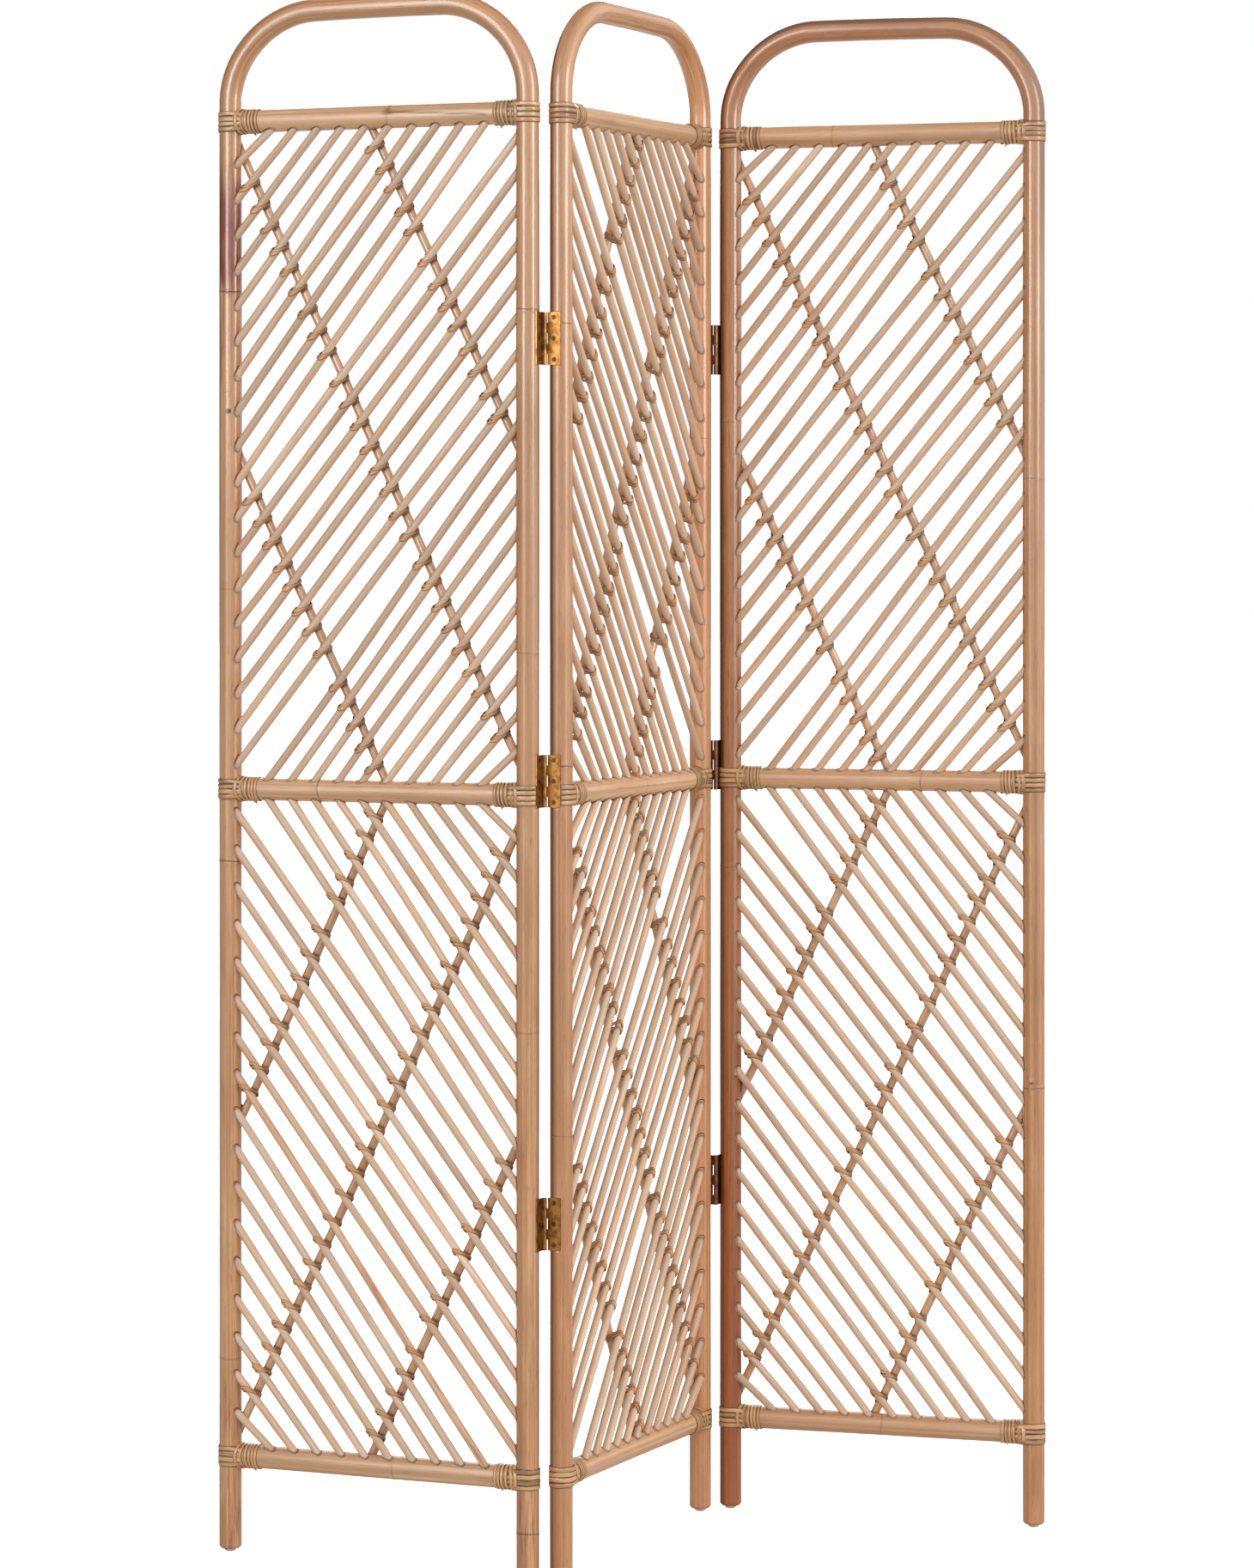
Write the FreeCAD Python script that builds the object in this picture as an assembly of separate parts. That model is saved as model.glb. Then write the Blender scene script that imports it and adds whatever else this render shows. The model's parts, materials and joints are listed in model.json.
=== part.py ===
import FreeCAD, Part

import math
import os

from FreeCAD import Placement, Rotation, Vector

# Folding screen of three rattan panels, in millimetres.
# The frame has +Z up, +X along the standing screen from its left end post to its right end post,
# and its origin on the floor under the middle of the standing screen.
# Each panel is drawn in its own frame first: origin on the floor under the axis of its left post,
# +X to its right post, and -Y to the side where the slats lie.

# Frame of one panel
overall_height = 1806.0
post_spacing = 374.6
pole_diameter = 26.4
arch_corner_radius = 107.0
foot_chamfer = 1.6
bottom_rail_height = 112.0
middle_rail_height = 888.5
top_rail_height = 1665.0
cope_clearance = 0.1
cope_land = 7.0

# Dowels that hold each rail to its posts
dowel_diameter = 8.0
dowel_length = 36.0
dowel_depth_in_rail = 20.0
dowel_clearance = 0.05
dowel_chamfer = 0.6

# Thin canes: slats in front, braces behind them
slat_diameter = 9.0
brace_diameter = 10.0
slat_plane = 4.8
cane_gap = 0.4
cane_socket_depth = 8.0
cane_clearance = 0.15
slat_first_on_post = 34.8
slat_last_on_post = 17.9
slat_inset_on_rail = 52.0
brace_slope = 63.6
brace_offset = 178.0

# How many slat ends sit on each post and on each rail, by panel and section
slat_end_counts = {
    "left": {"upper": (18, 10), "lower": (17, 10)},
    "middle": {"upper": (18, 11), "lower": (18, 11)},
    "right": {"upper": (18, 10), "lower": (18, 10)},
}

# Lashing of split rattan where a slat crosses a brace
tie_width = 3.0
tie_thickness = 0.8
tie_clearance = 0.15
tie_corner_radius = 4.6
tie_end_gap = 2.4

# Binding of flat rattan tape at each joint of rail and post
tape_thickness = 1.4
tape_seat = 0.05
wrap_width = 4.2
wrap_pitch = 4.8
wrap_turns = 5.0
wrap_start = 15.6
strap_width = 5.4
strap_count = 4
strap_pitch = 6.0
strap_end_gap = 0.3
gap_samples_per_turn = 72

# Butt hinges
hinge_height = 60.0
hinge_centre_heights = {"top": 1408.0, "middle": 904.0, "bottom": 400.0}
leaf_thickness = 1.2
leaf_front_reach = 5.4
leaf_seat_depth = 1.2
leaf_side_clearance = 0.1
pin_outward = 14.8
pin_sideways = 14.0
knuckle_diameter = 5.6
knuckle_count = 5
knuckle_end_gap = 0.2
knuckle_side_gap = 0.35
pin_diameter = 2.6
pin_clearance = 0.05
strap_leaf_clearance = 0.3

# Hinge screws
screw_length = 12.0
screw_diameter = 2.8
screw_head_diameter = 5.8
screw_clearance = 0.05
screw_end_inset = 6.0
screw_line = 2.9
screw_tip = 2.0
recess_width = 0.6
recess_length = 3.0
recess_depth = 0.7
screws_per_leaf = 3

# Glides under the feet
glide_height = 4.0
glide_diameter = 14.0
glide_flat_diameter = 7.0
glide_rim = 1.2
glide_spigot_diameter = 5.0
glide_spigot_length = 14.0
glide_clearance = 0.05

# Inner angles between the panels as the screen stands
left_fold_angle = 94.75
right_fold_angle = 99.5

# How far a cutting solid runs past what it cuts
overrun = 2.0

pole_radius = pole_diameter / 2
brace_plane = -slat_plane + slat_diameter / 2 + cane_gap + brace_diameter / 2
strap_inner_radius = pole_radius + tape_seat
strap_outer_radius = strap_inner_radius + tape_thickness
leaf_inner_face = pole_radius - leaf_seat_depth
leaf_outer_face = leaf_inner_face + leaf_thickness
knuckle_radius = knuckle_diameter / 2
straight_angle = 180.0
full_turn = 360.0
parallel_share = 0.001


def cylinder(radius, start, end):
    """A round bar of this radius from one point to another."""
    direction = end - start
    return Part.makeCylinder(radius, direction.Length, start, direction)


def box(low, high):
    """A box between its lowest and highest corners."""
    size = high - low
    return Part.makeBox(size.x, size.y, size.z, low)


def revolved(points):
    """A solid turned about the Z axis from a closed outline in the XZ plane."""
    outline = Part.makePolygon(points + [points[0]])
    return Part.Face(outline).revolve(Vector(), Vector(0, 0, 1), full_turn)


def is_rising(side, section):
    """Whether the slats of this section climb towards the right post."""
    outer_panel = side != "middle"
    return outer_panel == (section == "upper")


# Canes

def section_edges(section):
    """Heights of the lower and upper rail surfaces that close a section."""
    rails = {"upper": (middle_rail_height, top_rail_height),
             "lower": (bottom_rail_height, middle_rail_height)}
    low, high = rails[section]
    return low + pole_radius, high - pole_radius


def spread(first, last, count):
    """Evenly spaced values from first to last."""
    step = (last - first) / (count - 1)
    return [first + step * index for index in range(count)]


def slat_edge_points(side, section):
    """Where the rising slats leave the lower left edges and reach the upper right ones."""
    low, high = section_edges(section)
    on_post, on_rail = slat_end_counts[side][section]
    left = pole_radius
    right = post_spacing - pole_radius
    rail_places = spread(slat_inset_on_rail, post_spacing - slat_inset_on_rail, on_rail)
    left_post = spread(high - slat_first_on_post, low + slat_last_on_post, on_post)
    right_post = spread(high - slat_last_on_post, low + slat_first_on_post, on_post)
    starts = [("post", left, z) for z in left_post] + [("rail", x, low) for x in rail_places]
    ends = [("rail", x, high) for x in rail_places] + [("post", right, z) for z in right_post]
    return list(zip(starts, ends))


def brace_edge_points(section):
    """Where the three falling braces leave the upper left edges and reach the lower right ones."""
    low, high = section_edges(section)
    left = pole_radius
    right = post_spacing - pole_radius
    slope = math.tan(math.radians(brace_slope))
    points = []
    for offset in (0, brace_offset, -brace_offset):
        middle_x = post_spacing / 2 + offset
        middle_z = (low + high) / 2
        start_z = middle_z + (middle_x - left) * slope
        end_z = middle_z - (right - middle_x) * slope
        start = ("post", left, start_z)
        end = ("post", right, end_z)
        if start_z > high:
            start = ("rail", middle_x - (high - middle_z) / slope, high)
        if end_z < low:
            end = ("rail", middle_x + (middle_z - low) / slope, low)
        points.append((start, end))
    return points


def cane_axis(start, end, plane, mirrored):
    """Both ends of a cane's axis, seated in the sockets of what carries it."""
    start_kind, start_x, start_z = start
    end_kind, end_x, end_z = end
    near = Vector(start_x, plane, start_z)
    far = Vector(end_x, plane, end_z)
    along = (far - near).normalize()
    rate = {"post": abs(along.x), "rail": abs(along.z)}
    near = near - along * (cane_socket_depth / rate[start_kind])
    far = far + along * (cane_socket_depth / rate[end_kind])
    if mirrored:
        near.x = post_spacing - near.x
        far.x = post_spacing - far.x
    return near, far


def slat_axes(side, section):
    """Axes of all slats of one section."""
    mirrored = not is_rising(side, section)
    return [cane_axis(a, b, -slat_plane, mirrored) for a, b in slat_edge_points(side, section)]


def brace_axes(side, section):
    """Axes of the three braces of one section."""
    mirrored = not is_rising(side, section)
    return [cane_axis(a, b, brace_plane, mirrored) for a, b in brace_edge_points(section)]


def canes(axes, diameter):
    """Round canes on these axes."""
    return [cylinder(diameter / 2, near, far) for near, far in axes]


def cane_sockets(axes, diameter):
    """The room that these canes need in posts and rails."""
    rooms = []
    for near, far in axes:
        margin = (far - near).normalize() * cane_clearance
        rooms.append(cylinder(diameter / 2 + cane_clearance, near - margin, far + margin))
    return rooms


def panel_sockets(side):
    """Socket rooms of every slat, and of every brace, of one panel."""
    slats = []
    braces = []
    for section in ("upper", "lower"):
        slats += cane_sockets(slat_axes(side, section), slat_diameter)
        braces += cane_sockets(brace_axes(side, section), brace_diameter)
    return slats, braces


# Ties

def crossing(first, second):
    """The point in the XZ plane where two cane axes cross, or None past their ends."""
    near, far = first
    other_near, other_far = second
    along = far - near
    across = other_far - other_near
    spread_area = along.x * across.z - along.z * across.x
    offset = other_near - near
    share = (offset.x * across.z - offset.z * across.x) / spread_area
    other_share = (offset.x * along.z - offset.z * along.x) / spread_area
    if not 0 < share < 1 or not 0 < other_share < 1:
        return None
    return near + along * share


def half_reach(diameter, axis):
    """How far a leaning cane reaches sideways within the height of a tie."""
    near, far = axis
    along = (far - near).normalize()
    return diameter / 2 / abs(along.z) + tie_width / 2 * abs(along.x / along.z)


def tie_at(point, slat, brace):
    """A flat band round a slat and the brace behind it, open at the back where its ends meet."""
    widest = max(half_reach(slat_diameter, slat), half_reach(brace_diameter, brace))
    half_width = widest + tie_clearance
    front = -slat_plane - slat_diameter / 2 - tie_clearance
    back = brace_plane + brace_diameter / 2 + tie_clearance
    low = Vector(-half_width, front, 0)
    high = Vector(half_width, back, tie_width)
    wall = Vector(tie_thickness, tie_thickness, 0)
    upright = Vector(0, 0, 1)
    inner = box(low, high)
    outer = box(low - wall, high + wall)
    inner = inner.makeFillet(tie_corner_radius, edges_along(inner, upright))
    outer = outer.makeFillet(tie_corner_radius + tie_thickness, edges_along(outer, upright))
    mouth = box(Vector(-tie_end_gap / 2, back - overrun, 0), Vector(tie_end_gap / 2, back + overrun, tie_width))
    band = outer.cut(inner).cut(mouth)
    band.translate(Vector(point.x, 0, point.z - tie_width / 2))
    return band


def edges_along(solid, direction):
    """The straight edges of a solid that run in this direction."""
    found = []
    for edge in solid.Edges:
        start, end = edge.Vertexes[0].Point, edge.Vertexes[-1].Point
        if (end - start).cross(direction).Length < parallel_share * abs((end - start).dot(direction)):
            found.append(edge)
    return found


def ties(side):
    """One tie at every crossing of a slat and a brace that is clear of posts and rails."""
    bands = []
    for section in ("upper", "lower"):
        low, high = section_edges(section)
        for slat in slat_axes(side, section):
            room = pole_radius + half_reach(slat_diameter, slat) + tie_clearance + tie_thickness
            for brace in brace_axes(side, section):
                point = crossing(slat, brace)
                if point is None:
                    continue
                clear_x = room < point.x < post_spacing - room
                clear_z = low + tie_width < point.z < high - tie_width
                if clear_x and clear_z:
                    bands.append(tie_at(point, slat, brace))
    return bands


# Frame

def arch_path():
    """The centre line of the bent pole, from one foot over the arch to the other."""
    top = overall_height - pole_radius
    spring = top - arch_corner_radius
    reach = arch_corner_radius * (1 - math.cos(math.pi / 4))
    right = post_spacing
    foot = Vector(0, 0, glide_height)
    left_spring = Vector(0, 0, spring)
    left_crown = Vector(arch_corner_radius, 0, top)
    right_crown = Vector(right - arch_corner_radius, 0, top)
    right_spring = Vector(right, 0, spring)
    other_foot = Vector(right, 0, glide_height)
    return Part.Wire([
        Part.LineSegment(foot, left_spring).toShape(),
        Part.Arc(left_spring, Vector(reach, 0, top - reach), left_crown).toShape(),
        Part.LineSegment(left_crown, right_crown).toShape(),
        Part.Arc(right_crown, Vector(right - reach, 0, top - reach), right_spring).toShape(),
        Part.LineSegment(right_spring, other_foot).toShape()])


def bent_pole():
    """The bare pole with its two feet chamfered."""
    section = Part.Wire(Part.makeCircle(pole_radius, Vector(0, 0, glide_height), Vector(0, 0, 1)))
    shell = Part.BRepOffsetAPI.MakePipeShell(arch_path())
    shell.add(section)
    shell.build()
    shell.makeSolid()
    pole = shell.shape()
    feet = [edge for edge in pole.Edges if edge.BoundBox.ZMax < glide_height + foot_chamfer]
    return pole.makeChamfer(foot_chamfer, feet)


def dowel_ends(x_post, inward, height):
    """Both ends of a dowel's axis at one post, the end in the rail first."""
    surface = x_post + inward * pole_radius
    in_rail = surface + inward * dowel_depth_in_rail
    in_post = in_rail - inward * dowel_length
    return Vector(in_rail, 0, height), Vector(in_post, 0, height)


def rail_joints():
    """Post place, direction from post into rail, and height of every joint of rail and post."""
    heights = (bottom_rail_height, middle_rail_height, top_rail_height)
    return [(x, inward, z) for z in heights for x, inward in ((0, 1), (post_spacing, -1))]


def dowel(x_post, inward, height):
    """A round dowel with chamfered ends."""
    in_rail, in_post = dowel_ends(x_post, inward, height)
    pin = cylinder(dowel_diameter / 2, in_rail, in_post)
    rims = [edge for edge in pin.Edges if isinstance(edge.Curve, Part.Circle)]
    return pin.makeChamfer(dowel_chamfer, rims)


def dowel_room(x_post, inward, height):
    """The hole that a dowel sits in."""
    in_rail, in_post = dowel_ends(x_post, inward, height)
    margin = Vector(inward * dowel_clearance, 0, 0)
    return cylinder(dowel_diameter / 2 + dowel_clearance, in_rail + margin, in_post - margin)


def glide(x_post):
    """A glide with a round edge, a small flat below and a spigot that is driven into the foot."""
    radius = glide_diameter / 2
    flat = glide_flat_diameter / 2
    spigot = glide_spigot_diameter / 2
    dome = glide_height - glide_rim
    width = radius - flat
    ball = (width ** 2 + dome ** 2) / (2 * dome)
    half = math.asin(min(width / ball, 1)) / 2
    edge = Vector(flat, 0, 0)
    middle = Vector(flat + ball * math.sin(half), 0, ball - ball * math.cos(half))
    rim = Vector(radius, 0, dome)
    shoulder = Vector(radius, 0, glide_height)
    neck = Vector(spigot, 0, glide_height)
    tip = Vector(spigot, 0, glide_height + glide_spigot_length)
    crown = Vector(0, 0, glide_height + glide_spigot_length)
    edges = [Part.Arc(edge, middle, rim).toShape()]
    outline = (rim, shoulder, neck, tip, crown, Vector(), edge)
    for start, end in zip(outline, outline[1:]):
        edges.append(Part.LineSegment(start, end).toShape())
    body = Part.Face(Part.Wire(edges)).revolve(Vector(), Vector(0, 0, 1), full_turn)
    body.translate(Vector(x_post, 0, 0))
    return body


def glide_room(x_post):
    """The hole in the foot for the glide's spigot."""
    top = glide_height + glide_spigot_length + glide_clearance
    radius = glide_spigot_diameter / 2 + glide_clearance
    return cylinder(radius, Vector(x_post, 0, 0), Vector(x_post, 0, top))


def arch_pole(side):
    """The bent pole with every hole and hinge seat that it carries."""
    pole = bent_pole()
    slats, braces = panel_sockets(side)
    pole = pole.cut(slats)
    pole = pole.cut(braces)
    rooms = [dowel_room(*joint) for joint in rail_joints()]
    rooms += [glide_room(x_post) for x_post in (0, post_spacing)]
    pole = pole.cut(rooms)
    seats = []
    screws = []
    for edge in hinge_edges(side):
        for height in hinge_centre_heights.values():
            seats.append(at_edge(leaf_seat(), edge, height))
            screws += [at_edge(room, edge, height) for room in screw_rooms()]
    return pole.cut(seats).cut(screws)


def rail(side, height):
    """A cross rail, coped to both posts, with its sockets and dowel holes."""
    blank = cylinder(pole_radius, Vector(cope_land, 0, height), Vector(post_spacing - cope_land, 0, height))
    reach = Vector(0, 0, pole_radius + overrun)
    posts = []
    for x_post in (0, post_spacing):
        centre = Vector(x_post, 0, height)
        posts.append(cylinder(pole_radius + cope_clearance, centre - reach, centre + reach))
    blank = blank.cut(posts)
    slats, braces = panel_sockets(side)
    blank = blank.cut(slats)
    blank = blank.cut(braces)
    return blank.cut([dowel_room(*joint) for joint in rail_joints()])


# Bindings

def wrap_point(turns):
    """The tape's middle line after so many turns, about the X axis, starting under the rail."""
    radius = strap_inner_radius + tape_thickness / 2
    angle = 2 * math.pi * turns
    return Vector(wrap_start + wrap_width / 2 + wrap_pitch * turns,
                  radius * math.sin(angle), -radius * math.cos(angle))


def wrap_tangent(turns):
    """The direction of the tape's middle line after so many turns."""
    radius = strap_inner_radius + tape_thickness / 2
    angle = 2 * math.pi * turns
    around = 2 * math.pi * radius
    return Vector(wrap_pitch, around * math.cos(angle), around * math.sin(angle)).normalize()


def tangent_arc(start, corner, end):
    """The arc between two points whose tangents meet at the corner."""
    middle = (start + end) / 2
    half_chord = (end - start).Length / 2
    turn = math.acos(half_chord / (corner - start).Length)
    rise = (corner - middle).normalize() * (half_chord * math.tan(turn / 2))
    return Part.Arc(start, middle + rise, end).toShape()


def biarc(start, start_direction, end, end_direction):
    """Two arcs that join two points and share their directions."""
    chord = end - start
    total = start_direction + end_direction
    spread_share = 2 * (1 - start_direction.dot(end_direction))
    reach = chord.dot(total)
    distance = (math.sqrt(reach ** 2 + spread_share * chord.dot(chord)) - reach) / spread_share
    first_corner = start + start_direction * distance
    second_corner = end - end_direction * distance
    joint = (first_corner + second_corner) / 2
    return [tangent_arc(start, first_corner, joint), tangent_arc(joint, second_corner, end)]


def least_wrap_gap():
    """The least gap between one turn of the tape and another, measured on points."""
    count = int(wrap_turns * gap_samples_per_turn) + 1
    points = [wrap_point(index / gap_samples_per_turn) for index in range(count)]
    half_turn = gap_samples_per_turn // 2
    nearest = min((points[j] - points[i]).Length
                  for i in range(count) for j in range(i + half_turn, count))
    return nearest - wrap_width


def rail_wrap():
    """The tape wound round a rail beside its left post: one round winding, flattened to the tape."""
    edges = []
    halves = int(2 * wrap_turns)
    for index in range(halves):
        begin = index / 2
        finish = (index + 1) / 2
        edges += biarc(wrap_point(begin), wrap_tangent(begin), wrap_point(finish), wrap_tangent(finish))
    section = Part.Wire(Part.makeCircle(wrap_width / 2, wrap_point(0), wrap_tangent(0)))
    shell = Part.BRepOffsetAPI.MakePipeShell(Part.Wire(edges))
    shell.add(section)
    shell.build()
    shell.makeSolid()
    start = Vector(wrap_start - wrap_width, 0, 0)
    end = Vector(wrap_point(wrap_turns).x + wrap_width, 0, 0)
    sleeve = cylinder(strap_outer_radius, start, end).cut(cylinder(strap_inner_radius, start, end))
    return shell.shape().common(sleeve)


def rail_wraps():
    """One wrap at each end of each rail."""
    pattern = rail_wrap().Solids[0]
    centre = Vector(post_spacing / 2, 0, 0)
    wraps = []
    for x_post, inward, height in rail_joints():
        wrap = pattern.copy()
        if x_post > 0:
            wrap.rotate(centre, Vector(0, 0, 1), straight_angle)
        wrap.translate(Vector(0, 0, height))
        wraps.append(wrap)
    return wraps


def strap():
    """One strap round the left post, its two legs pointing to the rail."""
    leg_end = wrap_start - strap_end_gap
    edges = []
    ends = []
    for radius in (strap_inner_radius, strap_outer_radius):
        near = Vector(leg_end, -radius, 0)
        far = Vector(leg_end, radius, 0)
        edges.append(Part.LineSegment(near, Vector(0, -radius, 0)).toShape())
        edges.append(Part.Arc(Vector(0, -radius, 0), Vector(-radius, 0, 0), Vector(0, radius, 0)).toShape())
        edges.append(Part.LineSegment(Vector(0, radius, 0), far).toShape())
        ends.append((near, far))
    for inner, outer in zip(*ends):
        edges.append(Part.LineSegment(inner, outer).toShape())
    outline = Part.Wire(Part.__sortEdges__(edges))
    band = Part.Face(outline).extrude(Vector(0, 0, strap_width))
    band.translate(Vector(0, 0, -strap_width / 2))
    return band


def post_straps(side):
    """The straps round each post at each rail, cut away where a hinge leaf is let in."""
    pattern = strap()
    centre = Vector(post_spacing / 2, 0, 0)
    rooms = [at_edge(leaf_room(), edge, height)
             for edge in hinge_edges(side) for height in hinge_centre_heights.values()]
    straps = []
    for x_post, inward, height in rail_joints():
        for index in range(strap_count):
            rise = strap_pitch * (index - (strap_count - 1) / 2)
            band = pattern.copy()
            if x_post > 0:
                band.rotate(centre, Vector(0, 0, 1), straight_angle)
            band.translate(Vector(0, 0, height + rise))
            near_rooms = [room for room in rooms if room.BoundBox.intersect(band.BoundBox)]
            straps += band.cut(near_rooms).Solids if near_rooms else [band]
    return straps


# Hinges
# A hinge edge is the outer side of a post: its place, which way is outwards (+1 or -1 along X),
# and on which side of the panel the pin stands (+1 behind, -1 in front).
# Hinge pieces are drawn for outwards +1 and pin behind, with the post's axis at the origin.

left_line = {"left": (post_spacing, 1, 1), "middle": (0, -1, 1)}
right_line = {"middle": (post_spacing, 1, -1), "right": (0, -1, -1)}
lines = {"left": left_line, "right": right_line}
plain_leaves = {("left", "top"): "left", ("left", "middle"): "left", ("left", "bottom"): "left",
                ("right", "top"): "right", ("right", "middle"): "right", ("right", "bottom"): "middle"}


def hinge_edges(side):
    """The hinge edges of one panel."""
    return [line[side] for line in lines.values() if side in line]


def at_edge(shape, edge, height):
    """A hinge piece moved from its drawing place to a hinge edge at this height."""
    x_post, outward, pin_side = edge
    placed = shape.copy()
    if outward < 0:
        placed = placed.mirror(Vector(), Vector(1, 0, 0))
    if pin_side < 0:
        placed = placed.mirror(Vector(), Vector(0, 1, 0))
    placed.translate(Vector(x_post, 0, height))
    return placed


def leaf_seat():
    """The flat that is planed on a post for a leaf."""
    half = hinge_height / 2 + leaf_side_clearance
    reach = pole_radius + overrun
    return box(Vector(leaf_inner_face, -reach, -half), Vector(reach, reach, half))


def leaf_room():
    """The room that a leaf and its knuckles need among the straps."""
    half = hinge_height / 2 + strap_leaf_clearance
    reach = pin_sideways + knuckle_radius + overrun
    low = Vector(leaf_inner_face - strap_leaf_clearance, -leaf_front_reach - strap_leaf_clearance, -half)
    return box(low, Vector(pin_outward + reach, reach, half))


def knuckle_spans(first):
    """Lowest and highest point of every second knuckle, starting with this one."""
    pitch = hinge_height / knuckle_count
    spans = []
    for index in range(first, knuckle_count, 2):
        low = -hinge_height / 2 + pitch * index
        bottom = low if index == 0 else low + knuckle_end_gap / 2
        top = low + pitch if index == knuckle_count - 1 else low + pitch - knuckle_end_gap / 2
        spans.append((bottom, top))
    return spans


def screw_heights():
    """Heights of the screws of one leaf above its middle."""
    reach = hinge_height / 2 - screw_end_inset
    return spread(-reach, reach, screws_per_leaf)


def screw_body(radius, head_radius, tip_length, end):
    """A countersunk screw drawn along +Z from its tip up to its head, which ends at zero."""
    return revolved([Vector(0, 0, 0), Vector(head_radius, 0, 0), Vector(radius, 0, -leaf_thickness),
                     Vector(radius, 0, tip_length - end), Vector(0, 0, -end)])


def lay_screw(body, height):
    """A screw turned to point into the post at its place on the leaf."""
    placed = body.copy()
    placed.rotate(Vector(), Vector(0, 1, 0), straight_angle / 2)
    placed.translate(Vector(leaf_outer_face, screw_line, height))
    return placed


def screw():
    """A countersunk wood screw with a cross recess."""
    body = screw_body(screw_diameter / 2, screw_head_diameter / 2, screw_tip, screw_length)
    half_length = recess_length / 2
    half_width = recess_width / 2
    slots = [box(Vector(-half_length, -half_width, -recess_depth), Vector(half_length, half_width, overrun)),
             box(Vector(-half_width, -half_length, -recess_depth), Vector(half_width, half_length, overrun))]
    return body.cut(slots)


def screw_rooms():
    """The holes that one leaf's screws need in leaf and post."""
    margin = screw_clearance
    body = screw_body(screw_diameter / 2 + margin, screw_head_diameter / 2 + margin, 0,
                      screw_length + margin)
    return [lay_screw(body, height) for height in screw_heights()]


def leaf(first_knuckle):
    """A hinge leaf with every second knuckle and three countersunk holes."""
    half = hinge_height / 2
    plate = box(Vector(leaf_inner_face, -leaf_front_reach, -half), Vector(leaf_outer_face, pin_sideways, half))
    other = 1 - first_knuckle
    gap = knuckle_end_gap
    side_face = pin_sideways - knuckle_radius - knuckle_side_gap
    notches = []
    for bottom, top in knuckle_spans(other):
        low_z = bottom - gap if bottom > -half else -half - overrun
        high_z = top + gap if top < half else half + overrun
        notches.append(box(Vector(leaf_inner_face - overrun, side_face, low_z),
                           Vector(leaf_outer_face + overrun, pin_sideways + overrun, high_z)))
    knuckles = []
    for bottom, top in knuckle_spans(first_knuckle):
        knuckles.append(cylinder(knuckle_radius, Vector(pin_outward, pin_sideways, bottom),
                                 Vector(pin_outward, pin_sideways, top)))
    body = plate.cut(notches).fuse(knuckles)
    reach = Vector(0, 0, half + overrun)
    axis = Vector(pin_outward, pin_sideways, 0)
    bore = cylinder(pin_diameter / 2 + pin_clearance, axis - reach, axis + reach)
    return body.cut([bore] + screw_rooms())


def hinge_pin():
    """The pin of one hinge."""
    axis = Vector(pin_outward, pin_sideways, 0)
    half = Vector(0, 0, hinge_height / 2)
    return cylinder(pin_diameter / 2, axis - half, axis + half)


# Standing places of the panels

def turned(point, angle):
    """A point turned about the Z axis."""
    return Rotation(Vector(0, 0, 1), angle).multVec(point)


def panel_places():
    """Heading and left post of each panel, with both end posts on the X axis."""
    left_heading = 0
    middle_heading = left_heading + straight_angle - left_fold_angle
    right_heading = middle_heading - straight_angle + right_fold_angle
    left_pin = Vector(post_spacing + pin_outward, pin_sideways, 0)
    middle_post = left_pin - turned(Vector(-pin_outward, pin_sideways, 0), middle_heading)
    right_pin = middle_post + turned(Vector(post_spacing + pin_outward, -pin_sideways, 0), middle_heading)
    right_post = right_pin - turned(Vector(-pin_outward, -pin_sideways, 0), right_heading)
    end_post = right_post + turned(Vector(post_spacing, 0, 0), right_heading)
    swing = -math.degrees(math.atan2(end_post.y, end_post.x))
    headings = {"left": left_heading, "middle": middle_heading, "right": right_heading}
    posts = {"left": Vector(), "middle": middle_post, "right": right_post}
    return {side: Placement(turned(posts[side], swing), Rotation(Vector(0, 0, 1), headings[side] + swing))
            for side in headings}


def hinge_nodes():
    """Every hinge piece, drawn in the frame of the panel that carries it."""
    nodes = {}
    for line_name, line in lines.items():
        for side, edge in line.items():
            placed_screws = []
            for level, height in hinge_centre_heights.items():
                first = 0 if plain_leaves[(line_name, level)] == side else 1
                nodes[f"{line_name}_hinge_{level}_{side}_leaf"] = (side, [at_edge(leaf(first), edge, height)])
                for rise in screw_heights():
                    placed_screws.append(at_edge(lay_screw(screw(), rise), edge, height))
            nodes[f"{line_name}_hinge_{side}_screws"] = (side, placed_screws)
        pins = [at_edge(hinge_pin(), line["middle"], height) for height in hinge_centre_heights.values()]
        nodes[f"{line_name}_hinge_pins"] = ("middle", pins)
    return nodes


def panel_nodes(side):
    """Every piece of one panel, drawn in the panel's frame."""
    joints = rail_joints()
    pieces = {
        "arch_pole": [arch_pole(side)],
        "top_rail": [rail(side, top_rail_height)],
        "middle_rail": [rail(side, middle_rail_height)],
        "bottom_rail": [rail(side, bottom_rail_height)],
        "upper_slats": canes(slat_axes(side, "upper"), slat_diameter),
        "lower_slats": canes(slat_axes(side, "lower"), slat_diameter),
        "upper_braces": canes(brace_axes(side, "upper"), brace_diameter),
        "lower_braces": canes(brace_axes(side, "lower"), brace_diameter),
        "cane_ties": ties(side),
        "rail_wraps": rail_wraps(),
        "post_straps": post_straps(side),
        "rail_dowels": [dowel(*joint) for joint in joints],
        "glides": [glide(x_post) for x_post in (0, post_spacing)],
    }
    return {f"{side}_{name}": (side, solids) for name, solids in pieces.items()}


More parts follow.
